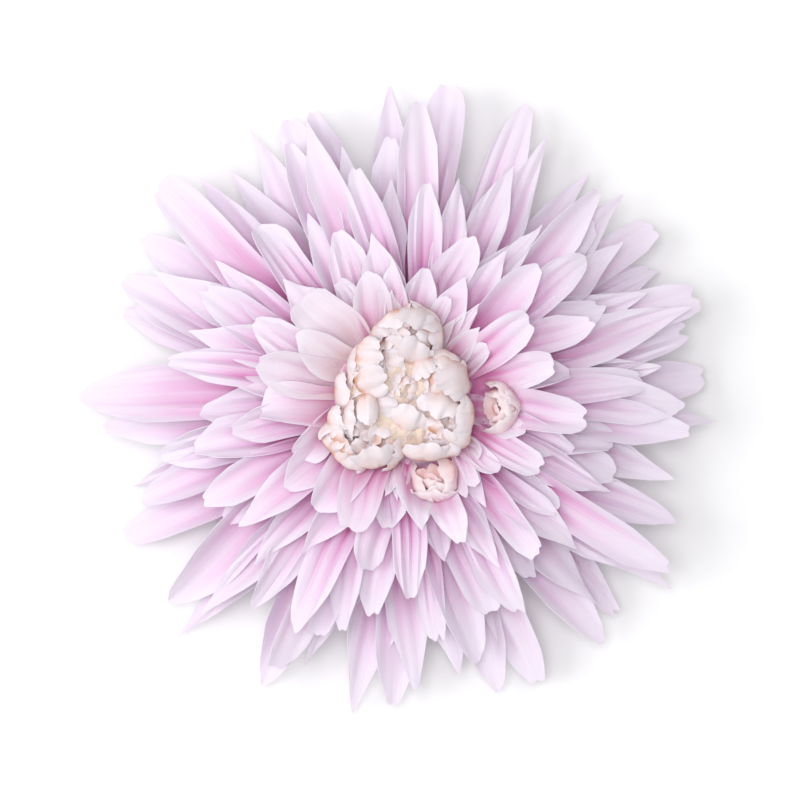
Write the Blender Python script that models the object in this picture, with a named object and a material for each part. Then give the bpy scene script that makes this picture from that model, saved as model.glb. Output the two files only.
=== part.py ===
"""Chrysanthemum flower: one picked bloom without its stem, lying face up on the flat cut of its stalk.

Metres, +Z up. The cut is centred on the origin at Z = 0 and the bloom's axis is +Z. Seen from above, +X is to
the right and +Y is up. Sizes below are in millimetres and angles in degrees, and the last step turns them
into metres.

Pieces: ray_petals (all the pink blades and two small rosettes, grown from one domed head), centre_florets
(the cream tufts in the middle, grown from the head's crown) and calyx (the green cup of bracts underneath).
"""

import math
import random

import bmesh
import bpy
from mathutils import Vector

MM = 0.001
SEED = 2027
TURN = 360.0

# The whole bloom
PETAL_THICKNESS = 0.8
FLORET_THICKNESS = 0.9
PIECE_GAP = 0.3
TUFT_ROOM = 0.9
PETAL_CLEARANCE = 0.85
WIDEST = 0.66
LOWEST_PETAL = 1.3

# Head: profile of the domed receptacle the pink petals grow from, as radius and height
HEAD_PROFILE = (
    (0.0, 6.8),
    (8.2, 6.8),
    (12.2, 8.4),
    (13.4, 10.6),
    (13.4, 14.0),
    (12.6, 17.2),
    (10.6, 19.4),
    (7.4, 18.6),
    (4.6, 16.9),
    (0.0, 17.0),
)
HEAD_SIDES = 14
ROOT_DEPTH = 5.0
ROOT_LEVEL = 0.6

# Crown: the smaller dome the cream florets grow from
CROWN_PROFILE = (
    (0.0, 17.3),
    (4.2, 17.3),
    (7.6, 19.6),
    (9.0, 21.0),
    (9.0, 22.2),
    (5.6, 23.6),
    (0.0, 24.1),
)
CROWN_SIDES = 16

# The funnel that parts cream from pink: all pink stays below it and all cream above it
FUNNEL_START_R = 5.0
FUNNEL_START_Z = 17.5
FUNNEL_SLOPE = 0.55

# Calyx: profile of the cup under the head
CALYX_PROFILE = ((0.0, 0.0), (3.6, 0.0), (3.8, 0.9), (4.3, 2.0), (6.2, 3.6), (8.2, 5.3), (8.6, 6.3), (0.0, 6.5))
CALYX_SIDES = 24
BRACT_ROWS = 3
BRACTS_IN_ROW = 9
BRACT_LENGTH = 6.6
BRACT_WIDTH = 4.2
BRACT_THICKNESS = 0.9
BRACT_CEILING = 6.4

# Whorls of blades from the outside in: root height, tip height, launch and finish slope, full width, cupping
WHORLS = {
    "under": (8.0, 3.0, 2.0, -8.0, 7.6, 0.10),
    "outer": (8.8, 4.0, 9.0, -14.0, 7.6, 0.16),
    "second": (10.0, 7.4, 17.0, -14.0, 7.5, 0.20),
    "third": (11.6, 11.2, 25.0, -12.0, 7.3, 0.22),
    "fourth": (13.0, 15.2, 33.0, -10.0, 7.0, 0.24),
    "fifth": (14.6, 19.0, 36.0, -6.0, 6.7, 0.24),
    "collar": (15.8, 20.8, 34.0, 10.0, 5.0, 0.26),
}

# Where each blade ends: the tip's azimuth and its reach from the axis. A third number is the blade's own
# width, and a fourth is how many degrees its tip has swung from its root.
OUTER_TIPS = (
    (3, 49.2),
    (12, 47.6),
    (19.5, 50.9),
    (27.5, 46.8),
    (34.5, 49.6),
    (42, 48.8),
    (50, 48.1),
    (66, 52.0),
    (82, 51.4),
    (91.5, 52.0),
    (107, 48.8),
    (112, 49.2),
    (120, 50.4),
    (126.5, 47.0),
    (133.5, 48.6),
    (141, 52.3),
    (148, 50.1),
    (158, 49.6),
    (163, 47.5),
    (183, 50.1),
    (186, 48.8),
    (197.5, 46.6),
    (208, 50.7),
    (220, 50.7, 9.0),
    (228, 53.6),
    (243.5, 52.3),
    (251, 46.3),
    (262, 53.0, 9.0),
    (268, 50.1),
    (281, 46.3),
    (288.5, 50.5),
    (296, 51.2),
    (309.5, 51.7),
    (315.5, 50.4),
    (324.5, 54.9),
    (344, 46.8),
    (356, 51.4),
)
SECOND_TIPS = (
    (6.3, 42.6),
    (17, 49.1, 8.2),
    (24.5, 43.5, 7.4),
    (35, 44.7, 6.8, 7),
    (44, 42.2, 7.4),
    (46, 46.2),
    (60, 48.8, 6.8, 4),
    (64.5, 41.9, 7.2),
    (86, 48.3),
    (93, 42.6),
    (103.5, 41.9),
    (109, 47.9),
    (115, 45.2),
    (139, 52.8, 8.4),
    (152, 45.5),
    (160.5, 45.7, 7.8),
    (179.5, 52.6, 10.4),
    (193, 40.5),
    (201.5, 46.0, 7.2),
    (227, 48.6),
    (234.5, 43.5, 7.2),
    (246, 48.4),
    (272, 48.8, 7.4),
    (286, 44.7),
    (313.5, 46.2, 9.4),
    (323.5, 46.3),
    (327, 51.7),
    (335, 48.8),
    (353.5, 47.1),
    (359.5, 45.8, 8.6),
)
THIRD_TIPS = (
    (5.2, 39.2, 6.6, 10),
    (26, 36.1),
    (36, 38.0),
    (51, 35.8, 7.0),
    (76, 36.9, 6.2, 13),
    (83.5, 35.1, 6.2, 12),
    (94.5, 35.4, 6.8),
    (100.5, 38.2, 7.0),
    (116, 33.8, 6.6),
    (129, 35.4, 4.6),
    (131.5, 36.1),
    (144.5, 38.2, 6.2, -5),
    (153, 37.0),
    (162, 36.4, 7.8),
    (170, 38.6),
    (184, 32.7, 7.4),
    (195, 34.6, 8.2),
    (206, 36.6),
    (215.5, 35.4),
    (229.5, 36.2, 6.8),
    (244, 41.6),
    (251, 40.8, 5.4, 8),
    (255, 39.2, 6.2, 14),
    (263, 35.8, 7.4),
    (279, 39.8, 5.0),
    (291, 37.5, 7.2, -6),
    (300, 40.0),
    (307.5, 36.1),
    (319, 37.6),
    (336.5, 37.1, 7.0),
    (341.5, 36.7),
    (347.5, 34.9, 8.0, 12),
)
FOURTH_TIPS = (
    (8, 27.3),
    (23, 33.2, 6.4, -4),
    (43, 30.6, 7.2),
    (54.5, 28.9, 6.6),
    (68, 28.4),
    (99.5, 26.8, 7.6),
    (113, 28.6),
    (137, 27.0),
    (155, 26.8),
    (173, 29.2),
    (190, 27.6),
    (219, 33.8),
    (238, 29.4),
    (257, 28.0),
    (273.5, 32.2, 6.2),
    (286, 27.2),
    (301, 31.7, 6.0, 11),
    (313, 33.3, 5.8),
    (323, 30.7, 6.2),
    (344.5, 28.8),
    (355, 29.4),
)
FIFTH_TIPS = (
    (12, 24.9, 6.6),
    (31, 23.9, 7.2),
    (62, 22.0),
    (80, 21.2),
    (92, 22.3, 5.6),
    (107, 21.1),
    (116.5, 21.1, 5.4),
    (134, 22.4, 9.4),
    (150, 19.8, 7.6),
    (167.5, 23.7, 8.0),
    (187, 22.7, 8.4),
    (203, 19.6, 7.4),
    (217, 23.6, 7.6),
    (231, 22.6, 8.2),
    (248.5, 22.6, 8.0),
    (263, 21.1),
    (278, 21.6),
    (291.5, 25.0, 6.0),
    (309.5, 22.4, 4.6),
    (333, 24.9, 5.6),
    (349, 20.6, 5.8),
)
COLLAR_TIPS = (
    (27, 16.1, 4.4),
    (41, 17.0),
    (52, 19.7, 3.6),
    (58, 15.6, 3.4),
    (67, 18.0, 3.6),
    (95, 17.6, 4.2),
    (262, 16.2, 3.8),
    (269, 16.8, 3.4),
    (306, 19.2, 3.4),
    (313, 18.6, 3.4),
    (320, 19.5, 4.4),
    (325, 16.0, 3.8),
)
UNDER_COUNT = 11
UNDER_REACH = 37.0
UNDER_WIDTH = 9.0

# Tufts: centre on X and Y, height, radius, number of florets and the azimuth of the first one
CREAM_TUFTS = (
    (-4.0, 5.0, 22.2, 5.6, 4, 200.0),
    (1.6, 9.2, 22.4, 5.4, 4, 60.0),
    (6.6, 2.2, 22.6, 5.6, 4, 20.0),
    (5.4, -4.6, 22.2, 5.6, 4, 300.0),
    (-7.0, -5.2, 22.0, 5.8, 4, 150.0),
    (0.0, -0.8, 22.2, 5.0, 3, 250.0),
)
PINK_TUFTS = ((14.8, -1.6, 18.6, 3.8, 3, 0.0), (5.0, -12.6, 18.0, 4.0, 3, 230.0))
CREAM_STALK_FOOT = 19.4
PINK_STALK_FOOT = 14.0


def lerp(a, b, t):
    return a + (b - a) * t


def funnel_height(radius):
    """Height of the funnel between pink and cream at a distance from the axis."""
    return FUNNEL_START_Z + (radius - FUNNEL_START_R) * FUNNEL_SLOPE


def head_radius(height):
    """Radius of the head at a height, read off its profile."""
    for (r0, z0), (r1, z1) in zip(HEAD_PROFILE[1:-1], HEAD_PROFILE[2:]):
        if z0 <= height <= z1:
            return lerp(r0, r1, (height - z0) / (z1 - z0))
    return HEAD_PROFILE[-2][0]


# Blades


def new_blade(name, tip, level, draw):
    """Measures of one blade, from its whorl, its tip and its level, with a small seeded difference in each."""
    root_z, tip_z, launch, finish, width, cup = WHORLS[name]
    azimuth, reach = tip[0], tip[1]
    own_width = tip[2] if len(tip) > 2 else width * draw.uniform(0.9, 1.08)
    swing = tip[3] if len(tip) > 3 else draw.uniform(-7.0, 7.0)
    start_z = root_z + level * ROOT_LEVEL + draw.uniform(-0.1, 0.1)
    root_low = WHORLS["under"][0]
    return {
        "azimuth": azimuth,
        "swing": swing,
        "r0": head_radius(start_z) - ROOT_DEPTH - 0.18 * (start_z - root_low),
        "z0": start_z,
        "r1": reach,
        "z1": tip_z + level * 0.9 + draw.uniform(-0.8, 1.2),
        "launch": launch + draw.uniform(-3.0, 4.0),
        "finish": finish + draw.uniform(-10.0, 10.0),
        "width": own_width,
        "cup": cup * draw.uniform(0.7, 1.3),
        "fold": draw.choice((0.0, 0.0, 0.0, 0.12)),
        "twist": draw.uniform(-20.0, 20.0),
        "blunt": draw.uniform(2.0, 3.2),
        "thickness": PETAL_THICKNESS,
    }


def midline(blade, s):
    """Point on a blade's midline, 0 at the root and 1 at the tip."""
    length = math.hypot(blade["r1"] - blade["r0"], blade["z1"] - blade["z0"])
    launch = math.radians(blade["launch"])
    finish = math.radians(blade["finish"])
    ra = blade["r0"] + 0.36 * length * math.cos(launch)
    za = blade["z0"] + 0.36 * length * math.sin(launch)
    rb = blade["r1"] - 0.34 * length * math.cos(finish)
    zb = blade["z1"] - 0.34 * length * math.sin(finish)
    q = 1.0 - s
    r = q**3 * blade["r0"] + 3 * q * q * s * ra + 3 * q * s * s * rb + s**3 * blade["r1"]
    z = q**3 * blade["z0"] + 3 * q * q * s * za + 3 * q * s * s * zb + s**3 * blade["z1"]
    azimuth = math.radians(blade["azimuth"] - blade["swing"] * q**1.6)
    return Vector((r * math.cos(azimuth), r * math.sin(azimuth), z))


def breadth(blade, s):
    """Half width of a blade along its length: narrow at the root, widest at two thirds, round to the tip."""
    rise = math.sin(min(s / WIDEST, 1.0) * math.pi / 2)
    half = blade["width"] / 2 * (0.20 + 0.80 * rise**1.5)
    if s > WIDEST:
        half *= max(0.0, 1.0 - ((s - WIDEST) / (1.0 - WIDEST)) ** blade["blunt"]) ** 0.75
    return half


def blade_frame(blade, s):
    """Midline point with the sideways and upward directions of the blade there."""
    step = 0.01
    here = midline(blade, s)
    along = (midline(blade, min(s + step, 1.0)) - midline(blade, max(s - step, 0.0))).normalized()
    azimuth = math.atan2(here.y, here.x)
    side = Vector((-math.sin(azimuth), math.cos(azimuth), 0.0))
    side = (side - along * side.dot(along)).normalized()
    up = along.cross(side)
    turn = math.radians(blade["twist"]) * s**1.5
    return here, side * math.cos(turn) + up * math.sin(turn), up * math.cos(turn) - side * math.sin(turn)


def blade_point(blade, s, u):
    """Point on a blade's middle surface: s runs from root to tip and u from -1 to 1 across."""
    here, side, up = blade_frame(blade, s)
    half = breadth(blade, s)
    rise = blade["cup"] * u * u + blade["fold"] * abs(u)
    point = here + side * (half * u * (1.0 - 0.1 * u * u)) + up * (half * rise)
    radius = math.hypot(point.x, point.y)
    ceiling = funnel_height(radius) - PIECE_GAP - 0.95
    if radius > 3.0 and point.z > ceiling:
        point.z = ceiling
    return point


def widest_gaps(tips, count):
    """Azimuths midway across the widest gaps of a whorl, where the blades under it show."""
    azimuths = sorted(tip[0] for tip in tips)
    following = azimuths[1:] + [azimuths[0] + TURN]
    gaps = sorted(((b - a, (a + b) / 2) for a, b in zip(azimuths, following)), reverse=True)
    return sorted(middle for _, middle in gaps[:count])


def all_blades():
    """Every pink blade, lowest first, each bent up until it lies clear on those already placed."""
    draw = random.Random(SEED)
    listed = []
    for azimuth in widest_gaps(OUTER_TIPS, UNDER_COUNT):
        listed.append(("under", (azimuth, UNDER_REACH + draw.uniform(-2.0, 1.0), UNDER_WIDTH, 0.0), 0))
    whorls = (
        ("outer", OUTER_TIPS),
        ("second", SECOND_TIPS),
        ("third", THIRD_TIPS),
        ("fourth", FOURTH_TIPS),
        ("fifth", FIFTH_TIPS),
        ("collar", COLLAR_TIPS),
    )
    for name, tips in whorls:
        by_azimuth = sorted(tips)
        for level in (-1, 0, 1):
            listed.extend((name, tip, level) for tip in by_azimuth[level + 1 :: 3])
    blades = []
    cells = {}
    for name, tip, level in listed:
        blade = new_blade(name, tip, level, draw)
        settle(blade, cells)
        blades.append(blade)
    return blades


def blade_samples(blade, rows, columns):
    """A grid of points on a blade, leaving out the part by the root, where all blades run together."""
    points = []
    for i in range(rows):
        s = 0.15 + 0.85 * i / (rows - 1)
        for k in range(columns):
            points.append(blade_point(blade, s, -1.0 + 2.0 * k / (columns - 1)))
    return points


def settle(blade, cells):
    """Lift a blade until it clears the blades under it, then note the height it fills."""
    least = None
    for attempt in range(12):
        lowest = min(point.z for point in blade_samples(blade, 9, 3))
        blade["z1"] += max(0.0, LOWEST_PETAL + 0.5 - lowest)
        worst = 0.0
        for point in blade_samples(blade, 9, 5):
            floor = cells.get((round(point.x), round(point.y)), -99.0)
            worst = max(worst, floor + PETAL_CLEARANCE - point.z)
        if least is None or worst < least[0] - 0.1:
            least = (worst, dict(blade))
        if worst <= 0.05:
            break
        blade["z1"] += min(0.5, worst) * 0.7
        blade["launch"] += 1.0
        blade["z0"] += 0.06
    blade.update(least[1])
    for point in blade_samples(blade, 24, 7):
        key = (round(point.x), round(point.y))
        cells[key] = max(cells.get(key, -99.0), point.z)


# Florets of the tufts


def new_florets(tuft, draw):
    """Measures of the cupped florets that wrap one tuft, the outer ones first."""
    x, y, z, radius, count, first = tuft
    florets = []
    for k in range(count):
        inner = k / max(count - 1, 1)
        florets.append(
            {
                "centre": Vector((x, y, z)),
                "radius": radius * lerp(1.0, 0.62, inner),
                "azimuth": first + k * 137.5 + draw.uniform(-10.0, 10.0),
                "spread": lerp(62.0, 80.0, inner) * draw.uniform(0.9, 1.1),
                "bottom": 168.0,
                "top": lerp(24.0, 6.0, inner) + draw.uniform(-8.0, 8.0),
                "lobes": draw.uniform(2.0, 3.4),
                "phase": draw.uniform(0.0, TURN),
                "margin": 0.37 * k,
                "thickness": FLORET_THICKNESS,
            }
        )
    return florets


def floret_point(floret, s, u):
    """Point on a cupped floret that wraps round its tuft: s from root to rim, u from -1 to 1 across."""
    waist = 0.35 + 0.65 * math.sin(min(s / 0.6, 1.0) * math.pi / 2)
    rim = 1.0 - 0.35 * max(0.0, (s - 0.72) / 0.28) ** 2
    azimuth = math.radians(floret["azimuth"] + floret["spread"] * u * waist * rim)
    scallop = 7.0 * math.sin(floret["lobes"] * u * math.pi + math.radians(floret["phase"])) * s**3
    polar = math.radians(lerp(floret["bottom"], floret["top"] + 16.0 * u * u + scallop, s))
    radius = floret["radius"] * (1.0 + 0.1 * s**3 * u * u)
    centre = floret["centre"]
    point = centre + Vector(
        (
            radius * math.sin(polar) * math.cos(azimuth),
            radius * math.sin(polar) * math.sin(azimuth),
            radius * math.cos(polar) * 0.95,
        )
    )
    return point


# Solids


def new_object(name, verts, faces, material):
    """A shaded object from points in millimetres."""
    mesh = bpy.data.meshes.new(name)
    mesh.from_pydata([Vector(v) * MM for v in verts], [], faces)
    work = bmesh.new()
    work.from_mesh(mesh)
    bmesh.ops.recalc_face_normals(work, faces=work.faces)
    work.to_mesh(mesh)
    work.free()
    mesh.materials.append(material)
    for polygon in mesh.polygons:
        polygon.use_smooth = True
    obj = bpy.data.objects.new(name, mesh)
    bpy.context.scene.collection.objects.link(obj)
    return obj


def sheet(name, point_at, thickness, rows, columns, pointed, material):
    """A closed lens-shaped sheet: full thickness inside and a shared edge all round.

    point_at(s, u) gives the middle surface. A pointed sheet has one point at each end. Both faces are cut
    into triangles along the same diagonals.
    """
    verts = []
    upper = []
    lower = []
    last = len(rows) - 1
    wide = len(columns) - 1
    grid = []
    for i, s in enumerate(rows):
        at_end = pointed and i in (0, last)
        grid.append([point_at(s, 0.0 if at_end else u) for u in columns])
    for i in range(last + 1):
        upper.append([])
        lower.append([])
        for k in range(wide + 1):
            here = grid[i][k]
            if pointed and i in (0, last):
                if k == 0:
                    verts.append(here)
                upper[i].append(len(verts) - 1)
                lower[i].append(len(verts) - 1)
                continue
            if i in (0, last) or k in (0, wide):
                verts.append(here)
                upper[i].append(len(verts) - 1)
                lower[i].append(len(verts) - 1)
                continue
            along = grid[min(i + 1, last)][k] - grid[max(i - 1, 0)][k]
            across = grid[i][min(k + 1, wide)] - grid[i][max(k - 1, 0)]
            normal = along.cross(across).normalized()
            verts.append(here + normal * thickness / 2)
            upper[i].append(len(verts) - 1)
            verts.append(here - normal * thickness / 2)
            lower[i].append(len(verts) - 1)
    faces = []
    for i in range(last):
        for k in range(wide):
            for side in (upper, lower):
                a, b = side[i][k], side[i][k + 1]
                c, d = side[i + 1][k + 1], side[i + 1][k]
                for face in ((a, b, c), (a, c, d)):
                    if len(set(face)) == 3:
                        faces.append(face)
    return new_object(name, verts, faces, material)


def turned(name, profile, sides, material):
    """A closed solid of revolution about the axis."""
    verts = []
    rings = []
    for r, z in profile:
        if r == 0.0:
            verts.append((0.0, 0.0, z))
            rings.append([len(verts) - 1] * sides)
            continue
        ring = []
        for k in range(sides):
            angle = 2 * math.pi * k / sides
            verts.append((r * math.cos(angle), r * math.sin(angle), z))
            ring.append(len(verts) - 1)
        rings.append(ring)
    faces = []
    for low, high in zip(rings, rings[1:]):
        for k in range(sides):
            n = (k + 1) % sides
            for face in ((low[k], low[n], high[n]), (low[k], high[n], high[k])):
                if len(set(face)) == 3:
                    faces.append(face)
    return new_object(name, verts, faces, material)


def fuse(body, repeats):
    """Join the repeats to the body they grow from, as one solid."""
    group = bpy.data.collections.new(body.name + "_repeats")
    bpy.context.scene.collection.children.link(group)
    for obj in repeats:
        bpy.context.scene.collection.objects.unlink(obj)
        group.objects.link(obj)
    union = body.modifiers.new("union", "BOOLEAN")
    union.operation = "UNION"
    union.operand_type = "COLLECTION"
    union.collection = group
    union.solver = "MANIFOLD"
    bpy.context.view_layer.objects.active = body
    bpy.ops.object.modifier_apply(modifier=union.name)
    for obj in list(group.objects):
        bpy.data.objects.remove(obj)
    bpy.data.collections.remove(group)
    keep_outside(body)


def keep_outside(body):
    """Keep only the solid's outer shell, so that no sealed hollow or loose scrap is left in it."""
    work = bmesh.new()
    work.from_mesh(body.data)
    bmesh.ops.triangulate(work, faces=work.faces)
    work.verts.ensure_lookup_table()
    seen = set()
    shells = []
    for start in work.verts:
        if start in seen:
            continue
        shell = []
        stack = [start]
        seen.add(start)
        while stack:
            vert = stack.pop()
            shell.append(vert)
            for edge in vert.link_edges:
                other = edge.other_vert(vert)
                if other not in seen:
                    seen.add(other)
                    stack.append(other)
        shells.append(shell)
    shells.sort(key=len)
    spare = [vert for shell in shells[:-1] for vert in shell]
    if spare:
        bmesh.ops.delete(work, geom=spare, context="VERTS")
    bmesh.ops.recalc_face_normals(work, faces=work.faces)
    work.to_mesh(body.data)
    work.free()
    for polygon in body.data.polygons:
        polygon.use_smooth = True


def new_material(name, colour, roughness):
    material = bpy.data.materials.new(name)
    material.use_nodes = True
    shader = material.node_tree.nodes["Principled BSDF"]
    shader.inputs["Base Color"].default_value = (*colour, 1.0)
    shader.inputs["Roughness"].default_value = roughness
    shader.inputs["Metallic"].default_value = 0.0
    material.diffuse_color = (*colour, 1.0)
    return material


# The three pieces


def build_ray_petals():
    pink = new_material("petal_pink", (0.82, 0.60, 0.78), 0.6)
    body = turned("ray_petals", HEAD_PROFILE, HEAD_SIDES, pink)
    repeats = []
    rows = (0.0, 0.3, 0.58, 0.81, 0.95, 1.0)
    columns = (-1.0, 0.0, 1.0)
    for k, blade in enumerate(all_blades()):
        repeats.append(
            sheet(
                f"blade_{k:03d}",
                lambda s, u, b=blade: blade_point(b, s, u),
                blade["thickness"],
                rows,
                columns,
                True,
                pink,
            )
        )
    draw = random.Random(SEED + 1)
    for tuft in PINK_TUFTS:
        repeats.extend(tuft_sheets(tuft, draw, pink, True))
    fuse(body, repeats)
    return body


def held_to_side(point, margin, below_funnel):
    """The point, moved up or down until it lies on its own side of the funnel."""
    limit = funnel_height(math.hypot(point.x, point.y))
    if below_funnel:
        point.z = min(point.z, limit - PIECE_GAP - TUFT_ROOM - margin)
    else:
        point.z = max(point.z, limit - PIECE_GAP + TUFT_ROOM + margin)
    return point


def tuft_sheets(tuft, draw, material, below_funnel):
    """The florets of one tuft and the short stalk they grow from."""
    made = []
    rows = (0.0, 0.25, 0.5, 0.75, 1.0)
    columns = (-1.0, -0.45, 0.45, 1.0) if below_funnel else (-1.0, -0.5, 0.0, 0.5, 1.0)
    for floret in new_florets(tuft, draw):

        def point_at(s, u, f=floret):
            return held_to_side(floret_point(f, s, u), f["margin"], below_funnel)

        made.append(sheet("floret", point_at, floret["thickness"], rows, columns, False, material))
    made.append(tuft_stalk(tuft, material, below_funnel))
    return made


def tuft_stalk(tuft, material, below_funnel):
    """A tapered stalk from the head up into a tuft."""
    x, y, z, radius = tuft[:4]
    foot = Vector((x, y, 0.0)) * (0.30 if below_funnel else 0.25)
    foot.z = PINK_STALK_FOOT if below_funnel else CREAM_STALK_FOOT
    top = Vector((x, y, z - radius * 0.1))
    sides = 8
    verts = []
    for centre, width in ((foot, 1.6), (lerp(foot, top, 0.6), radius * 0.42), (top, radius * 0.5)):
        for k in range(sides):
            angle = 2 * math.pi * k / sides
            around = centre + Vector((math.cos(angle), math.sin(angle), 0.0)) * width
            verts.append(held_to_side(around, 0.0, below_funnel))
    verts.append(foot)
    verts.append(top)
    faces = []
    for ring in (0, sides):
        for k in range(sides):
            n = (k + 1) % sides
            faces.append((ring + k, ring + n, ring + sides + n))
            faces.append((ring + k, ring + sides + n, ring + sides + k))
    for k in range(sides):
        n = (k + 1) % sides
        faces.append((k, 3 * sides, n))
        faces.append((2 * sides + k, 2 * sides + n, 3 * sides + 1))
    return new_object("stalk", verts, faces, material)


def build_centre_florets():
    cream = new_material("floret_cream", (0.88, 0.82, 0.76), 0.6)
    body = turned("centre_florets", CROWN_PROFILE, CROWN_SIDES, cream)
    repeats = []
    draw = random.Random(SEED + 2)
    for tuft in CREAM_TUFTS:
        repeats.extend(tuft_sheets(tuft, draw, cream, False))
    fuse(body, repeats)
    return body


def build_calyx():
    green = new_material("calyx_green", (0.20, 0.32, 0.12), 0.65)
    body = turned("calyx", CALYX_PROFILE, CALYX_SIDES, green)
    repeats = []
    draw = random.Random(SEED + 3)
    for row in range(BRACT_ROWS):
        for k in range(BRACTS_IN_ROW):
            azimuth = TURN * (k + row * 0.5) / BRACTS_IN_ROW + draw.uniform(-4.0, 4.0)
            repeats.append(bract(azimuth, row, draw, green))
    fuse(body, repeats)
    return body


def bract(azimuth, row, draw, material):
    """One scale of the cup: it lies along the cup's slope and lifts a little at its tip."""
    start_r = 2.9 + 1.25 * row
    start_z = 1.6 + 1.05 * row
    rise = math.radians(40.0 - 3.0 * row)
    length = BRACT_LENGTH * draw.uniform(0.92, 1.08)
    spin = math.radians(azimuth)
    out = Vector((math.cos(spin), math.sin(spin), 0.0))
    side = Vector((-math.sin(spin), math.cos(spin), 0.0))
    lift = Vector((-math.sin(rise) * out.x, -math.sin(rise) * out.y, math.cos(rise)))

    def point_at(s, u):
        reach = start_r + length * s * math.cos(rise)
        height = start_z + length * s * math.sin(rise)
        half = BRACT_WIDTH / 2 * (0.75 + 0.5 * s) * max(0.0, 1.0 - s**3.0) ** 0.7
        bow = Vector((0.0, 0.0, 0.0)) + lift * (half * 0.22 * u * u)
        point = out * reach + side * (half * u) + Vector((0.0, 0.0, height)) + bow
        point.z = min(point.z, BRACT_CEILING)
        return point

    rows = (0.0, 0.45, 0.82, 1.0)
    return sheet("bract", point_at, BRACT_THICKNESS, rows, (-1.0, 0.0, 1.0), True, material)


def main():
    for obj in list(bpy.data.objects):
        bpy.data.objects.remove(obj)
    for build in (build_ray_petals, build_centre_florets, build_calyx):
        body = build()
        print(body.name, len(body.data.polygons), "triangles")


main()
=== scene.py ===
"""Chrysanthemum bloom: the finished flower, built round its solid parts.

A picked bloom lies face up on a pale floor. Its pink blades stand in seven whorls round a domed head, two
small rosettes sit among the innermost, tufts of cream florets fill the middle and a green calyx holds it all
from below. Lengths in the lists are millimetres and angles are degrees, seen from above with +X to the right.
"""

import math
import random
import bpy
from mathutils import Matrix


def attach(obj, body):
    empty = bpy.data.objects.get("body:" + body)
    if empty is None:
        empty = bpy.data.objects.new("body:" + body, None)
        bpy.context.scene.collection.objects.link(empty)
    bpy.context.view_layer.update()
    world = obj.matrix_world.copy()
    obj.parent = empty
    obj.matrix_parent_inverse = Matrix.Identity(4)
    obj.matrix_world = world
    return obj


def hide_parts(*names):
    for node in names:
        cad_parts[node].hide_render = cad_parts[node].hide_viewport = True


bl_info = {
    "name": "Chrysanthemum Bloom",
    "version": (1, 0, 0),
    "blender": (4, 5, 0),
    "location": "3D View > Sidebar > Bloom",
    "description": "Builds the petals, centre florets, calyx and studio of one picked chrysanthemum bloom",
    "category": "Add Mesh",
}

import bpy
import numpy as np
from bpy.props import FloatProperty, FloatVectorProperty, IntProperty, PointerProperty
from bpy.types import Operator, Panel, PropertyGroup
from mathutils import Vector, noise

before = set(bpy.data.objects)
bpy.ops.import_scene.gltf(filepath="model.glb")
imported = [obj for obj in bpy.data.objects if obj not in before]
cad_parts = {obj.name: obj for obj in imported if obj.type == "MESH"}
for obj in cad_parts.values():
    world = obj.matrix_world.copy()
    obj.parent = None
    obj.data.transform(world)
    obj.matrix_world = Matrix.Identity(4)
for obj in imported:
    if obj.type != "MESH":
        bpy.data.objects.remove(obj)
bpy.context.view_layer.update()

MM = 0.001
TURN = 360.0
GOLDEN_ANGLE = 137.5


# Profiles of the round bodies that the petals grow from, as radius and height, and how they are drawn
HEAD_PROFILE = (
    (0.0, 6.8), (8.2, 6.8), (12.2, 8.4), (13.4, 10.6), (13.4, 14.0), (12.6, 17.2), (10.6, 19.4),
    (7.4, 18.6), (4.6, 16.9), (0.0, 17.0),
)
CROWN_PROFILE = (
    (0.0, 17.3), (4.2, 17.3), (7.6, 19.6), (9.2, 21.0), (9.2, 22.6), (7.8, 24.0), (5.6, 24.8), (2.6, 25.2),
    (0.0, 25.3),
)
CALYX_PROFILE = (
    (0.0, 0.0), (3.6, 0.0), (3.8, 0.9), (4.3, 2.0), (6.2, 3.6), (8.2, 5.3), (8.6, 6.3), (0.0, 6.5),
)
BODY_SIDES = 48
AXIS_RADIUS = 0.2
SMOOTH_ANGLE = 50.0
CROWN_CRUMPLE = 0.9

# Where the blades start in the head, and how far each level of a whorl stands above the last
SEED = 2027
ROOT_DEPTH = 5.0
ROOT_LEAN = 0.18
ROOT_LEVEL = 0.6
TIP_LEVEL = 0.9

# A blade's plain shape: its widest place, its width at the root, and how its ends lean out of their slopes
WIDEST = 0.66
ROOT_WIDTH = 0.20
LAUNCH_HANDLE = 0.36
FINISH_HANDLE = 0.34
EDGE_PULL = 0.1
STATIONS = 61

# Room the blades keep from each other and from the floor, and how one is lifted until it has that room
PETAL_CLEARANCE = 0.85
LOWEST_PETAL = 1.3
LOWEST_MARGIN = 0.4
SETTLE_TRIES = 12
SETTLED = 0.05
LIFT_SHARE = 0.7
LIFT_MOST = 0.5
LIFT_LAUNCH = 1.0
LIFT_ROOT = 0.06
FAR_BELOW = -99.0

# The funnel that parts cream from pink: all pink stays below it and all cream above it
FUNNEL_START_R = 5.0
FUNNEL_START_Z = 17.5
FUNNEL_SLOPE = 0.55
PIECE_GAP = 0.3
CEILING_ROOM = 0.95
AXIS_ROOM = 3.0
PRESS_ROOM = 0.5

# The calyx's bracts
BRACT_ROWS = 3
BRACTS_IN_ROW = 9
BRACT_LENGTH = 6.6
BRACT_WIDTH = 4.2
BRACT_SKIN = 0.45
BRACT_POINTS = 15
BRACT_SLOPE = 40.0
CALYX_TOP = 6.45

# A floret: where it starts below its form's middle, how far round it reaches, its dome and its stem
FLORET_ROOT = -70.0
FLORET_HALF_ANGLE = 66.0
FLORET_DOME = 0.72
FLORET_SCALE = 1.24
FLORET_STEM = 4.6
PLEAT = 0.06
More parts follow.
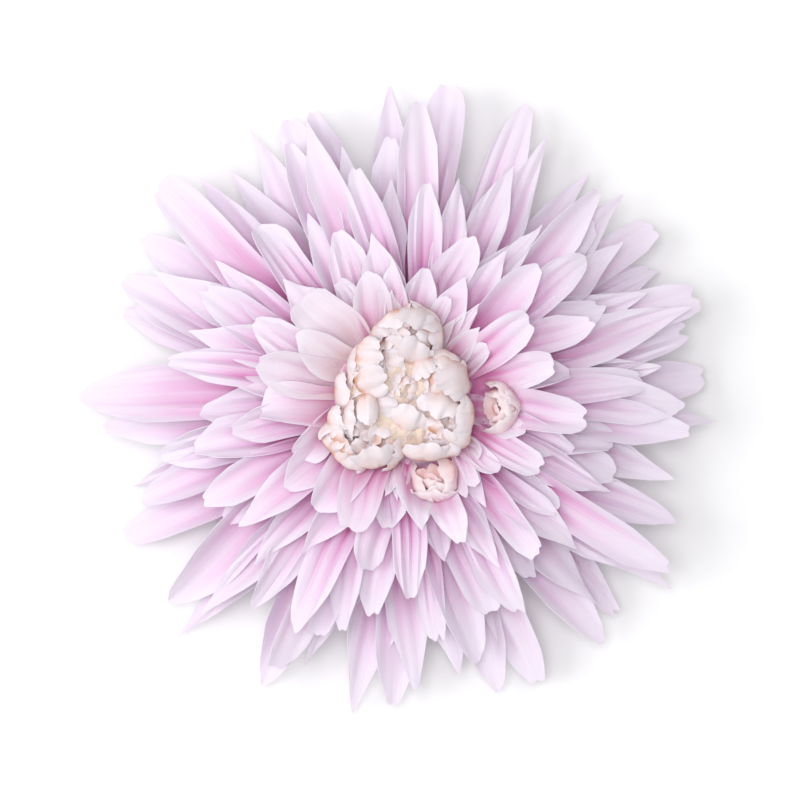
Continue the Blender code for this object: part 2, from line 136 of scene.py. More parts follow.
# Its ruffles: height, power along it, power across it, waves across, waves along, and which phase each takes
RUFFLES = (
    (0.045, 1, 0, 5.0, 2.0, 0),
    (0.050, 3, 2, 0.0, 0.0, 1),
    (0.060, 4, 0, 10.0, 0.0, 2),
    (0.035, 6, 0, 19.0, 0.0, 0),
    (0.035, 2, 4, 0.0, 15.0, 1),
)
# The torn edge of its rim in degrees: height, waves across and phase
RIM_TEARS = ((2.2, 11.0, 1), (0.9, 23.0, 2))

# A nest of florets: how much smaller its inmost is, the rims of its outermost and inmost, and how far its
# inmost turn to peach, partly their own colour and partly painted shade of the nest's depths
NEST_SHRINK = 0.62
NEST_RIMS = (66.0, 96.0)
NEST_DEPTH_SHADE = 0.7

# How much pinker each whorl is, and the side of the bloom that is pinker still
BLUSH = {
    "under": 0.5, "outer": 0.0, "second": 0.05, "third": 0.18, "fourth": 0.33, "fifth": 0.48, "collar": 0.5,
}
BLUSH_SIDE = 205.0
BLUSH_SIDE_SHARE = 0.25
# How much cream the innermost whorls have, the side where it gathers, and its share away from that side
CREAM_SHARE = {"fourth": 0.4, "fifth": 0.9, "collar": 0.7}
CREAM_SIDE = 146.0
CREAM_ELSEWHERE = 0.12

# Tints that aren't offered as settings
# Grey laid over the florets listed as grey: partly their own greyer tone and partly painted shade of lobes
# lying in hollows
GREY_TONE_AND_SHADE = (0.70, 0.62, 0.66)
CROWN_FLESH = (0.82, 0.67, 0.57)
WHITE = (1.0, 1.0, 1.0)
BLACK = (0.0, 0.0, 0.0)

# Studio: lamps by name, azimuth, elevation, distance and side in metres, and power; then the camera's aim
LAMPS = (
    ("key_left", 180.0, 45.0, 1.3, 0.7, 6.2),
    ("softbox_above", 150.0, 84.0, 1.5, 0.6, 8.6),
)
SKY_STRENGTH = 0.59
VIEW_CENTRE = (-0.325, -0.325)
FOCUS_HEIGHT = 10.0
SENSOR = 36.0

# Whorls of blades from the outside in: root height, tip height, launch and finish slope, full width, cupping
WHORLS = {
    "under": (8.0, 3.0, 2.0, -8.0, 7.6, 0.10),
    "outer": (8.8, 4.0, 9.0, -14.0, 7.6, 0.16),
    "second": (10.0, 7.4, 17.0, -14.0, 7.5, 0.20),
    "third": (11.6, 11.2, 25.0, -12.0, 7.3, 0.22),
    "fourth": (13.0, 15.2, 33.0, -10.0, 7.0, 0.24),
    "fifth": (14.6, 19.0, 36.0, -6.0, 6.7, 0.24),
    "collar": (15.8, 20.8, 34.0, 10.0, 5.0, 0.26),
}
INNER_WHORLS = ("fourth", "fifth", "collar")

# The hidden blades under the outermost whorl: how many, their reach and their width
UNDER_COUNT = 11
UNDER_REACH = 37.0
UNDER_WIDTH = 9.0

# Where each blade ends: the tip's azimuth and its reach from the axis. A third number is the blade's own
# width, and a fourth is how many degrees its tip has swung from its root.
TIPS = {
    "outer": (
        (3, 49.2), (12, 47.6), (19.5, 50.9), (27.5, 46.8), (34.5, 49.6), (42, 48.8), (50, 48.1),
        (66, 52.0), (82, 51.4), (91.5, 52.0), (107, 48.8), (112, 49.2), (120, 50.4), (126.5, 47.0),
        (133.5, 48.6), (141, 52.3), (148, 50.1), (158, 49.6), (163, 47.5), (183, 50.1), (186, 48.8),
        (197.5, 46.6), (208, 50.7), (220, 50.7, 9.0), (228, 53.6), (243.5, 52.3), (251, 46.3),
        (262, 53.0, 9.0), (268, 50.1), (281, 46.3), (288.5, 50.5), (296, 51.2), (309.5, 51.7),
        (315.5, 50.4), (324.5, 54.9), (344, 46.8), (356, 51.4),
    ),
    "second": (
        (6.3, 42.6), (17, 49.1, 8.2), (24.5, 43.5, 7.4), (35, 44.7, 6.8, 7), (44, 42.2, 7.4), (46, 46.2),
        (60, 48.8, 6.8, 4), (64.5, 41.9, 7.2), (86, 48.3), (93, 42.6), (103.5, 41.9), (109, 47.9),
        (115, 45.2), (139, 52.8, 8.4), (152, 45.5), (160.5, 45.7, 7.8), (179.5, 52.6, 10.4), (193, 40.5),
        (201.5, 46.0, 7.2), (227, 48.6), (234.5, 43.5, 7.2), (246, 48.4), (272, 48.8, 7.4), (286, 44.7),
        (313.5, 46.2, 9.4), (323.5, 46.3), (327, 51.7), (335, 48.8), (353.5, 47.1), (359.5, 45.8, 8.6),
    ),
    "third": (
        (5.2, 39.2, 6.6, 10), (26, 36.1), (36, 38.0), (51, 35.8, 7.0), (76, 36.9, 6.2, 13),
        (83.5, 35.1, 6.2, 12), (94.5, 35.4, 6.8), (100.5, 38.2, 7.0), (116, 33.8, 6.6), (129, 35.4, 4.6),
        (131.5, 36.1), (144.5, 38.2, 6.2, -5), (153, 37.0), (162, 36.4, 7.8), (170, 38.6),
        (184, 32.7, 7.4), (195, 34.6, 8.2), (206, 36.6), (215.5, 35.4), (229.5, 36.2, 6.8), (244, 41.6),
        (251, 40.8, 5.4, 8), (255, 39.2, 6.2, 14), (263, 35.8, 7.4), (279, 39.8, 5.0),
        (291, 37.5, 7.2, -6), (300, 40.0), (307.5, 36.1), (319, 37.6), (336.5, 37.1, 7.0), (341.5, 36.7),
        (347.5, 34.9, 8.0, 12),
    ),
    "fourth": (
        (8, 27.3), (23, 33.2, 6.4, -4), (43, 30.6, 7.2), (54.5, 28.9, 6.6), (68, 28.4), (99.5, 26.8, 7.6),
        (113, 28.6), (137, 27.0), (155, 26.8), (173, 29.2), (190, 27.6), (219, 33.8), (238, 29.4),
        (257, 28.0), (273.5, 32.2, 6.2), (286, 27.2), (301, 31.7, 6.0, 11), (313, 33.3, 5.8),
        (323, 30.7, 6.2), (344.5, 28.8), (355, 29.4),
    ),
    "fifth": (
        (12, 24.9, 6.6), (31, 23.9, 7.2), (62, 22.0), (80, 21.2), (92, 22.3, 5.6), (107, 21.1),
        (116.5, 21.1, 5.4), (134, 22.4, 9.4), (150, 19.8, 7.6), (167.5, 23.7, 8.0), (187, 22.7, 8.4),
        (203, 19.6, 7.4), (217, 23.6, 7.6), (231, 22.6, 8.2), (248.5, 22.6, 8.0), (263, 21.1), (278, 21.6),
        (291.5, 25.0, 6.0), (309.5, 22.4, 4.6), (333, 24.9, 5.6), (349, 20.6, 5.8),
    ),
    "collar": (
        (27, 16.1, 4.4), (41, 17.0), (52, 19.7, 3.6), (58, 15.6, 3.4), (67, 18.0, 3.6), (95, 17.6, 4.2),
        (262, 16.2, 3.8), (269, 16.8, 3.4), (306, 19.2, 3.4), (313, 18.6, 3.4), (320, 19.5, 4.4),
        (325, 16.0, 3.8),
    ),
}

# Tips with a cut of their own, by whorl and azimuth. Chance picks the others' cuts.
TIP_CUTS = {
    "collar": {"square": (27, 67, 320), "acute": (52, 58)},
    "fifth": {
        "square": (12, 31, 116.5, 134, 187, 248.5, 333),
        "round": (150, 167.5, 203, 217, 231, 263, 291.5, 349),
        "acute": (278, 309.5),
    },
    "fourth": {"round": (43, 344.5), "acute": (54.5, 99.5), "square": (313, 323)},
    "third": {"acute": (51, 144.5)},
}
# How each cut runs: what its corners lose of the length, how full its curve is, and how much it narrows
CUTS = {
    "acute": (0.30, 0.38, 1.25, 1.6, 0.55),
    "round": (0.17, 0.25, 2.1, 2.9, 0.35),
    "square": (0.08, 0.13, 3.5, 5.0, 0.22),
}
CUT_CHANCES = ("acute", "acute", "round", "round", "square")
# How deep the notch in a tip may be, on the innermost blades and on the others
INNER_NOTCHES = (0.0, 0.0, 0.014)
OUTER_NOTCHES = (0.0, 0.0, 0.0, 0.014, 0.03)
NOTCH_WIDTH = 0.2
# How far a blade may be rolled about its midline, and the share of it on the outermost
ROLLS = (-26.0, -16.0, -7.0, 5.0, 12.0, 22.0)
OUTER_ROLL = 0.5
CREASES = (0.0, 0.15, 0.25, 0.4)
TIP_RIPPLE = 0.010
CURL_HEIGHT = 0.5
LONG_WAVE = 0.16

# Nests of small florets that fill the middle under the named ones: place, half width, top and how many
NESTS = (
    (-4.8, 5.2, 4.2, 25.2, 5),
    (1.6, 10.6, 4.7, 25.8, 7),
    (6.6, 3.2, 4.4, 25.8, 6),
    (6.8, -4.2, 4.8, 25.6, 7),
    (0.6, 1.6, 4.0, 25.4, 6),
    (0.8, -3.4, 4.2, 25.2, 6),
    (-8.0, -6.2, 5.3, 25.2, 8),
    (-3.0, -7.4, 4.0, 24.8, 5),
    (-4.6, -0.4, 3.5, 25.2, 5),
    (-1.4, 6.8, 3.3, 25.2, 5),
)

# Florets of the tufts in the middle. Each is a small petal rolled over a rounded form: that form's centre on
# X and Y and its top, its half width across and along, the azimuth the petal grows from, how far over the
# form its rim comes (90 is the top), how deep and in how many scallops its rim is cut, and its tint: grey
# above 0 and peach below it. Both are partly painted shade: the grey on lobes that lie in hollows, besides
# their greyer tone, and the peach in the depths, besides the florets' own peach.
TUFTS = {
    "tuft_upper_left": (
        (-6.4, 5.0, 24.5, 3.4, 1.9, 165, 84, 5, 2, 0.1),
        (-8.2, 0.8, 23.9, 3.0, 2.1, 190, 88, 5, 2, 0.0),
        (-2.4, 5.0, 25.1, 1.8, 1.7, 20, 96, 6, 2, 0.2),
        (-4.2, 6.8, 26.5, 2.3, 2.6, 175, 110, 7, 2, 0.0),
        (-4.1, 3.1, 26.7, 2.5, 2.8, 200, 118, 7, 2, 0.0),
    ),
    "tuft_top": (
        (-2.2, 10.4, 24.5, 2.4, 1.9, 140, 96, 6, 2, 0.3),
        (4.0, 9.8, 25.3, 2.9, 2.1, 12, 88, 5, 2, 0.3),
        (1.8, 11.2, 26.1, 3.2, 2.8, 66, 92, 4, 2, 0.7),
        (-0.4, 12.0, 25.5, 2.6, 1.6, 100, 118, 6, 2, 0.0),
        (1.5, 8.6, 26.3, 3.2, 2.6, 250, 112, 6, 2, 0.4),
        (-1.0, 6.2, 25.5, 2.0, 1.7, 215, 118, 6, 2, 0.1),
    ),
    "tuft_right": (
        (6.4, 5.4, 24.9, 2.6, 1.9, 75, 94, 6, 2, 0.4),
        (7.4, 2.6, 26.7, 2.6, 2.7, 25, 120, 4, 2, 0.7),
        (4.1, 4.0, 26.5, 2.0, 2.1, 120, 108, 9, 3, 0.0),
    ),
    "tuft_lower_right": (
        (8.9, -2.8, 25.9, 2.8, 2.1, 355, 100, 6, 2, 0.2),
        (8.6, -5.8, 25.3, 2.2, 1.9, 320, 98, 6, 2, 0.2),
        (7.4, -7.2, 25.1, 1.9, 1.9, 290, 88, 7, 2, 0.2),
        (5.7, -1.9, 26.6, 2.8, 2.6, 70, 114, 7, 2, 0.0),
        (3.8, -7.2, 26.3, 3.2, 2.3, 268, 92, 6, 2, 0.1),
    ),
    "tuft_middle": (
        (-1.6, 2.6, 24.7, 2.2, 1.9, 100, 98, 7, 2, 0.5),
        (-2.4, -3.8, 24.3, 2.4, 2.1, 215, 90, 5, 2, 0.9),
        (-2.2, -0.9, 25.5, 2.4, 2.4, 175, 112, 5, 2, 0.1),
        (3.0, -0.4, 25.9, 2.1, 2.0, 335, 106, 7, 2, 0.0),
        (1.2, -2.6, 26.1, 2.7, 2.6, 250, 116, 5, 2, 0.0),
    ),
    "tuft_lower_left": (
        (-8.0, -8.8, 24.5, 2.4, 2.0, 235, 88, 7, 2, 0.2),
        (-7.2, -6.8, 24.7, 1.8, 1.7, 330, 100, 6, 2, 0.4),
        (-9.7, -4.8, 25.3, 3.0, 1.8, 182, 100, 7, 2, 0.0),
        (-7.6, -3.4, 25.8, 2.8, 1.5, 178, 98, 7, 2, 0.0),
        (-4.6, -8.2, 25.9, 2.9, 2.6, 285, 104, 7, 2, 0.4),
        (-5.4, -2.8, 27.1, 1.5, 3.0, 86, 118, 3, 1, 0.0),
    ),
}

# The two pink rosettes, in the same terms as the tufts
ROSETTES = {
    "rosette_right": (
        (14.6, -1.8, 21.2, 3.0, 2.8, 10, 120, 4, 2, -0.6),
        (15.0, -1.2, 23.0, 3.9, 3.6, 48, 66, 5, 2, 0.1),
        (15.0, -2.0, 22.6, 3.9, 3.5, 306, 64, 5, 2, 0.1),
        (15.3, -1.6, 23.0, 3.3, 3.1, 355, 72, 5, 2, 0.0),
        (15.2, -1.4, 22.9, 2.7, 2.6, 60, 76, 5, 1, 0.0),
        (15.3, -1.8, 22.8, 2.2, 2.1, 310, 80, 6, 1, -0.2),
        (15.4, -1.5, 22.7, 1.6, 1.5, 20, 86, 5, 1, 0.0),
        (15.5, -1.6, 22.5, 1.0, 0.9, 200, 92, 5, 1, -0.3),
    ),
    "rosette_lower": (
        (5.0, -12.4, 21.0, 3.0, 2.8, 270, 124, 6, 2, -0.8),
        (5.0, -12.9, 22.2, 3.7, 3.4, 205, 62, 6, 2, 0.1),
        (5.4, -12.8, 22.5, 3.7, 3.6, 342, 70, 6, 2, 0.0),
        (5.2, -13.1, 22.5, 3.9, 3.5, 272, 64, 5, 2, 0.0),
        (5.3, -12.8, 22.3, 3.1, 2.9, 292, 72, 6, 2, 0.0),
        (5.2, -12.6, 22.0, 2.4, 2.1, 255, 78, 6, 2, -0.2),
        (5.4, -12.2, 21.6, 1.6, 1.4, 240, 84, 6, 2, -0.5),
        (6.4, -11.8, 22.8, 2.5, 2.1, 22, 108, 5, 2, 0.0),
    ),
}
# Room under each rosette that the blades below it keep: its place, its radius and the height they stay under
ROSETTE_ROOM = ((15.0, -1.6, 3.2, 18.6), (5.2, -12.8, 3.2, 18.2))


def screen(red, green, blue):
    """A colour as a screen shows it, 0 to 255, in linear light."""
    linear = []
    for value in (red, green, blue):
        value /= 255.0
        linear.append(value / 12.92 if value <= 0.04045 else ((value + 0.055) / 1.055) ** 2.4)
    return tuple(linear)


def colour_property(name, description, *levels):
    return FloatVectorProperty(
        name=name, description=description, subtype="COLOR", size=3, min=0.0, max=1.0, default=screen(*levels)
    )


def length_property(name, description, metres):
    return FloatProperty(name=name, description=description, default=metres, unit="LENGTH")


def share_property(name, description, share):
    return FloatProperty(name=name, description=description, default=share, subtype="FACTOR")


def count_property(name, description, count):
    return IntProperty(name=name, description=description, default=count)


class BloomSizes(PropertyGroup):
    """Sizes of the bloom's fine shape and of the studio."""

    petal_skin: length_property("Petal thickness", "How thick a pink blade is", 0.00032)
    floret_skin: length_property("Floret thickness", "How thick a cream floret is", 0.0002)
    margin_thinning: share_property("Margin thinning", "Thickness at a margin as a share of the whole", 0.35)
    petal_rows: count_property("Petal rows", "Points from a petal's root to its tip", 32)
    petal_columns: count_property("Petal columns", "Points across a petal", 13)
    floret_rows: count_property("Floret rows", "Points from a floret's root to its rim", 26)
    floret_columns: count_property("Floret columns", "Points across a floret", 27)
    groove_depth: length_property("Groove depth", "Depth of the grooves along a blade", 0.00050)
    margin_wave: length_property("Margin wave", "How far a blade's margins wave", 0.00055)
    vein_depth: length_property("Vein depth", "Relief of the finest veins", 0.0001)
    crumple: share_property("Crumple", "How far a floret is crumpled, as a share of its size", 0.11)
    floor_side: length_property("Floor", "Side of the studio floor", 6.0)
    camera_height: length_property("Camera height", "Height of the camera above the floor", 0.9)
    view_width: length_property("View width", "Width that the camera takes in", 0.130)


class BloomColours(PropertyGroup):
    """Colours of the bloom and of the studio."""

    petal_tip: colour_property("Petal tip", "Blades at their tips", 247, 243, 253)
    petal_middle: colour_property("Petal middle", "Blades at mid length", 246, 232, 248)
    petal_lower: colour_property("Petal lower part", "Blades nearer the root", 241, 203, 233)
    petal_root: colour_property("Petal root", "Blades at their roots", 228, 132, 194)
    petal_cream: colour_property("Petal cream", "Cream flush of the innermost blades", 255, 251, 250)
    floret_rim: colour_property("Floret rim", "Cream florets at their rims", 250, 243, 248)
    floret_lower: colour_property("Floret lower part", "Cream florets lower down", 248, 229, 228)
    # floret_root colours the depths peach: partly the florets' own colour and partly painted shade of the
    # crevices between them
    floret_root: colour_property("Floret root", "Cream florets in their depths", 224, 166, 130)
    rosette_rim: colour_property("Rosette rim", "Rosette petals at their rims", 253, 241, 246)
    rosette_lower: colour_property("Rosette lower part", "Rosette petals lower down", 250, 221, 224)
    # rosette_root colours the depths peach: partly the petals' own colour and partly painted shade of the
    # rosette's hollow
    rosette_root: colour_property("Rosette root", "Rosette petals in their depths", 238, 172, 166)
    calyx_green: colour_property("Calyx", "Bracts of the calyx", 112, 138, 74)
    calyx_margin: colour_property("Bract margin", "Dry margins of the bracts", 188, 176, 122)
    stalk_cut: colour_property("Cut stalk", "Pale pith where the stalk was cut", 222, 226, 188)
    floor: colour_property("Floor", "The studio's floor", 246, 246, 247)


# The blades' plain shape, which is also the rule of the solids


def lerp(a, b, t):
    return a + (b - a) * t


def spoke(degrees):
    """Cosine and sine of an angle in degrees."""
    return math.cos(math.radians(degrees)), math.sin(math.radians(degrees))


def funnel_height(radius):
    """Height of the funnel between pink and cream at a distance from the axis."""
    return FUNNEL_START_Z + (radius - FUNNEL_START_R) * FUNNEL_SLOPE


def head_radius(height):
    """Radius of the head at a height, read off its profile."""
    for (r0, z0), (r1, z1) in zip(HEAD_PROFILE[1:-1], HEAD_PROFILE[2:]):
        if z0 <= height <= z1:
            return lerp(r0, r1, (height - z0) / (z1 - z0))
    return HEAD_PROFILE[-2][0]


def new_blade(name, tip, level, draw):
    """Measures of one blade, from its whorl, tip and level, with a small seeded difference in each."""
    root_z, tip_z, launch, finish, width, cup = WHORLS[name]
    own_width = tip[2] if len(tip) > 2 else width * draw.uniform(0.9, 1.08)
    swing = tip[3] if len(tip) > 3 else draw.uniform(-7.0, 7.0)
    start_z = root_z + level * ROOT_LEVEL + draw.uniform(-0.1, 0.1)
    return {
        "whorl": name,
        "azimuth": tip[0],
        "swing": swing,
        "r0": head_radius(start_z) - ROOT_DEPTH - ROOT_LEAN * (start_z - WHORLS["under"][0]),
        "z0": start_z,
        "r1": tip[1],
        "z1": tip_z + level * TIP_LEVEL + draw.uniform(-0.8, 1.2),
        "launch": launch + draw.uniform(-3.0, 4.0),
        "finish": finish + draw.uniform(-10.0, 10.0),
        "width": own_width,
        "cup": cup * draw.uniform(0.7, 1.3),
        "fold": draw.choice((0.0, 0.0, 0.0, 0.12)),
        "twist": draw.uniform(-20.0, 20.0),
        "blunt": draw.uniform(2.0, 3.2),
    }


def midline(blade, s):
    """Point on a blade's midline, 0 at the root and 1 at the tip."""
    r0, z0, r1, z1 = (blade[key] for key in ("r0", "z0", "r1", "z1"))
    length = math.hypot(r1 - r0, z1 - z0)
    start_out, start_up = spoke(blade["launch"])
    end_out, end_up = spoke(blade["finish"])
    out = (r0, r0 + LAUNCH_HANDLE * length * start_out, r1 - FINISH_HANDLE * length * end_out, r1)
    up = (z0, z0 + LAUNCH_HANDLE * length * start_up, z1 - FINISH_HANDLE * length * end_up, z1)
    q = 1.0 - s
    shares = (q**3, 3 * q * q * s, 3 * q * s * s, s**3)
    r, z = (sum(share * value for share, value in zip(shares, values)) for values in (out, up))
    x, y = spoke(blade["azimuth"] - blade["swing"] * q**1.6)
    return Vector((r * x, r * y, z))


def breadth(blade, s):
    """Half width of a blade along its length: narrow at the root, widest at two thirds, round to the tip."""
    rise = math.sin(min(s / WIDEST, 1.0) * math.pi / 2)
    half = blade["width"] / 2 * (ROOT_WIDTH + (1.0 - ROOT_WIDTH) * rise**1.5)
    if s > WIDEST:
        half *= max(0.0, 1.0 - ((s - WIDEST) / (1.0 - WIDEST)) ** blade["blunt"]) ** 0.75
    return half


def blade_frame(blade, s):
    """Midline point with the sideways and upward directions of the blade there."""
    step = 0.01
    here = midline(blade, s)
    along = (midline(blade, min(s + step, 1.0)) - midline(blade, max(s - step, 0.0))).normalized()
    azimuth = math.atan2(here.y, here.x)
    side = Vector((-math.sin(azimuth), math.cos(azimuth), 0.0))
    side = (side - along * side.dot(along)).normalized()
    up = along.cross(side)
    level, lift = spoke(blade["twist"] * s**1.5)
    return here, side * level + up * lift, up * level - side * lift


def blade_point(blade, s, u):
    """Point on a blade's middle surface: s runs from root to tip and u from -1 to 1 across."""
    here, side, up = blade_frame(blade, s)
    half = breadth(blade, s)
    rise = blade["cup"] * u * u + blade["fold"] * abs(u)
    point = here + side * (half * u * (1.0 - EDGE_PULL * u * u)) + up * (half * rise)
    radius = math.hypot(point.x, point.y)
    ceiling = funnel_height(radius) - PIECE_GAP - CEILING_ROOM
    if radius > AXIS_ROOM and point.z > ceiling:
        point.z = ceiling
    return point


def widest_gaps(tips, count):
    """Azimuths midway across the widest gaps of a whorl, where the blades under it show."""
    azimuths = sorted(tip[0] for tip in tips)
    following = azimuths[1:] + [azimuths[0] + TURN]
    gaps = sorted(((b - a, (a + b) / 2) for a, b in zip(azimuths, following)), reverse=True)
    return sorted(middle for _, middle in gaps[:count])


def all_blades():
    """Every pink blade, lowest first, each bent up until it lies clear on those already placed."""
    draw = random.Random(SEED)
    listed = []
    for azimuth in widest_gaps(TIPS["outer"], UNDER_COUNT):
        listed.append(("under", (azimuth, UNDER_REACH + draw.uniform(-2.0, 1.0), UNDER_WIDTH, 0.0), 0))
    for name, tips in TIPS.items():
        by_azimuth = sorted(tips)
        for level in (-1, 0, 1):
            listed.extend((name, tip, level) for tip in by_azimuth[level + 1 :: 3])
    blades = []
    cells = {}
    for name, tip, level in listed:
        blade = new_blade(name, tip, level, draw)
        settle(blade, cells)
        blades.append(blade)
    return blades


def blade_samples(blade, rows, columns):
    """A grid of points on a blade, leaving out the part by the root, where all blades run together."""
    points = []
    for i in range(rows):
        s = 0.15 + 0.85 * i / (rows - 1)
        for k in range(columns):
            points.append(blade_point(blade, s, -1.0 + 2.0 * k / (columns - 1)))
    return points


def settle(blade, cells):
    """Lift a blade until it clears the blades under it, then note the height it fills."""
    least = None
    for _ in range(SETTLE_TRIES):
        lowest = min(point.z for point in blade_samples(blade, 9, 3))
        blade["z1"] += max(0.0, LOWEST_PETAL + 0.5 - lowest)
        worst = 0.0
        for point in blade_samples(blade, 9, 5):
            floor = cells.get((round(point.x), round(point.y)), FAR_BELOW)
            worst = max(worst, floor + PETAL_CLEARANCE - point.z)
        if least is None or worst < least[0] - 0.1:
            least = (worst, dict(blade))
        if worst <= SETTLED:
            break
        blade["z1"] += min(LIFT_MOST, worst) * LIFT_SHARE
        blade["launch"] += LIFT_LAUNCH
        blade["z0"] += LIFT_ROOT
    blade.update(least[1])
    for point in blade_samples(blade, 24, 7):
        key = (round(point.x), round(point.y))
        cells[key] = max(cells.get(key, FAR_BELOW), point.z)


# Fine shape of the blades


def tip_cut(blade, chance):
    """The cut listed for a blade's tip, or else the one that chance gave it."""
    for cut, azimuths in TIP_CUTS.get(blade["whorl"], {}).items():
        if blade["azimuth"] in azimuths:
            return cut
    return chance


def blade_style(blade, draw, rolls):
    """What makes one blade's fine shape its own: its grooves, margins, tip, roll and shade."""
    inner = blade["whorl"] in INNER_WHORLS
    least, most, full_low, full_high, narrowing = CUTS[tip_cut(blade, draw.choice(CUT_CHANCES))]
    return {
        "roll": rolls.choice(ROLLS) * (OUTER_ROLL if blade["whorl"] == "outer" else 1.0),
        "groove": draw.uniform(0.5, 1.1),
        "grooves": draw.choice((1.0, 1.5, 2.0)),
        "wave": [draw.uniform(0.3, 1.0) for _ in range(6)],
        "phase": [draw.uniform(0.0, TURN) for _ in range(10)],
        "notch": draw.choice(INNER_NOTCHES if inner else OUTER_NOTCHES),
        "notch_at": draw.uniform(-0.35, 0.35),
        "taper": draw.uniform(least, most),
        "fullness": draw.uniform(full_low, full_high),
        "narrowing": narrowing,
        "sway": draw.uniform(-0.9, 0.9),
        "crease": draw.choice(CREASES),
        "base": draw.uniform(0.55, 0.70) if inner else draw.uniform(0.35, 0.45),
        "slant": draw.uniform(-0.03, 0.03),
        "tip_lift": draw.uniform(0.2, 1.4) if inner else draw.uniform(-0.9, 0.7),
        "curl": draw.uniform(-0.4, 1.3),
        "tone": draw.uniform(0.0, 1.0),
    }


def ripple(angle, phase):
    """Sine of an angle in radians, shifted by a phase in degrees."""
    return np.sin(angle + math.radians(phase))


def ramped(values, start, end):
    """Values as a share of the way from start to end, kept between 0 and 1."""
    return np.clip((values - start) / (end - start), 0.0, 1.0)


def slow_wave(s, phases, amounts, pace):
    """A smooth irregular line along a blade: three sines of different pace."""
    total = np.zeros_like(s)
    for k in range(3):
        total += amounts[k] * ripple(s * pace * (1.0 + 0.83 * k) * math.pi, phases[k]) / (1 + k)
    return total


def pressed(room, softness):
    """How far a point gives way smoothly as its room runs out."""
    return softness * np.log1p(np.exp(-np.clip(room / softness, -30.0, 30.0)))


def keep_below_funnel(points, softness=0.9):
    """Press points of the pink part smoothly down where they would rise through the funnel."""
    radius = np.hypot(points[..., 0], points[..., 1])
    points[..., 2] -= pressed(funnel_height(radius) - PIECE_GAP - PRESS_ROOM - points[..., 2], softness)


def keep_under_rosettes(points, softness=0.5):
    """Press points of the blades smoothly down where a rosette sits on them."""
    for x, y, radius, under in ROSETTE_ROOM:
        away = np.hypot(points[..., 0] - x, points[..., 1] - y)
        points[..., 2] -= pressed(under + np.maximum(away - radius, 0.0) * 2.0 - points[..., 2], softness)


def keep_above_funnel(points, softness=0.5):
    """Press points of the cream part smoothly up where they would sink through the funnel."""
    radius = np.hypot(points[..., 0], points[..., 1])
    points[..., 2] += pressed(points[..., 2] - funnel_height(radius) - PIECE_GAP, softness)


def tip_ends(u, style):
    """Share of a blade's length that each line along it reaches, which cuts the tip."""
    ends = 1.0 - style["taper"] * np.abs(u) ** style["fullness"]
    ends -= style["notch"] * np.exp(-(((u - style["notch_at"]) / NOTCH_WIDTH) ** 2))
    return ends + style["slant"] * u + TIP_RIPPLE * ripple(u * 9.0, style["phase"][9])


def blade_surface(blade, style, rows, columns, sizes):
    """Points of one finished blade in millimetres, row by row from root to tip, and how folded each is, which
    the finish paints as shade in the valleys and highlight on the ridges.
    """
    table = np.linspace(0.0, 1.0, STATIONS)
    stations = [blade_frame(blade, s) for s in table]
    centre, side, up = (np.array([station[k] for station in stations]) for k in range(3))
    rise = np.sin(np.minimum(table / WIDEST, 1.0) * math.pi / 2)
    full = blade["width"] / 2 * (style["base"] + (1.0 - style["base"]) * rise)
    full *= 1.0 - style["narrowing"] * ramped(table, WIDEST, 1.0) ** 2

    u = np.linspace(-1.0, 1.0, columns)
    t = np.linspace(0.0, 1.0, rows)[:, None]
    s = np.clip(t * tip_ends(u, style)[None, :], 0.0, 1.0)
    u = np.broadcast_to(u[None, :], s.shape)

    phase, wave = style["phase"], style["wave"]
    width = np.interp(s, table, full)
    left, right = slow_wave(s, phase[0:3], wave[0:3], 2.1), slow_wave(s, phase[3:6], wave[3:6], 2.4)
    margin = np.where(u < 0.0, left, right)
    edge = np.abs(u)
    body = np.sin(s * math.pi) ** 0.6
    furrows = np.cos(style["grooves"] * 2 * math.pi * u + 0.5 * ripple(s * 5.0, phase[7]))
    height = width * (blade["cup"] * u * u + (blade["fold"] + style["crease"]) * edge)
    height += sizes.groove_depth / MM * style["groove"] * furrows * body * (1.0 - u**4)
    height += sizes.margin_wave / MM * margin * edge**3 * np.clip(s * 2.0, 0.0, 1.0)
    height += CURL_HEIGHT * style["curl"] * ramped(edge, 0.7, 1.0) ** 2 * body
    height += style["tip_lift"] * ramped(s, 0.8, 1.0) ** 2
    height += LONG_WAVE * ripple(s * 9.0, phase[6]) * np.cos(u * 1.7)
    across = width * u * (1.0 - EDGE_PULL * u * u) * (1.0 + 0.03 * margin)
    across += style["sway"] * np.sin(s * math.pi * 1.5) * np.clip(s * 3.0 - 1.0, 0.0, 1.0)

    roll = np.radians(style["roll"]) * np.clip(s * 1.6 - 0.5, 0.0, 1.0)
    level, lift = np.cos(roll), np.sin(roll)
    across, height = across * level - height * lift, height * level + across * lift

    def along(values):
        return np.stack([np.interp(s, table, values[:, k]) for k in range(3)], axis=-1)

    points = along(centre) + along(side) * across[..., None] + along(up) * height[..., None]
    keep_below_funnel(points)
    keep_under_rosettes(points)
    points[..., 2] = np.maximum(points[..., 2], LOWEST_MARGIN)
    # How folded each point is, from valley to ridge: the finish paints the valleys darker as painted shade
    # and the ridges paler as painted highlight
    fold = furrows * body * (1.0 - u**4) * np.clip(style["groove"], 0.6, 1.0)
    return points.reshape(-1, 3), fold.ravel()


# Fine shape of the florets


def crumpled(directions, seed, coarse, fine):
    """Small share added to each point's distance from its tuft's centre, from smooth noise."""
    shift = Vector((seed * 3.1, seed * 1.7, seed * 2.3))
    share = []
    for direction in directions.reshape(-1, 3):
        place = Vector(direction)
        creases = 0.3 - abs(noise.noise(place * 3.4 - shift))
        share.append(coarse * noise.noise(place * 1.7 + shift) + fine * creases)
    return np.array(share).reshape(directions.shape[:-1])


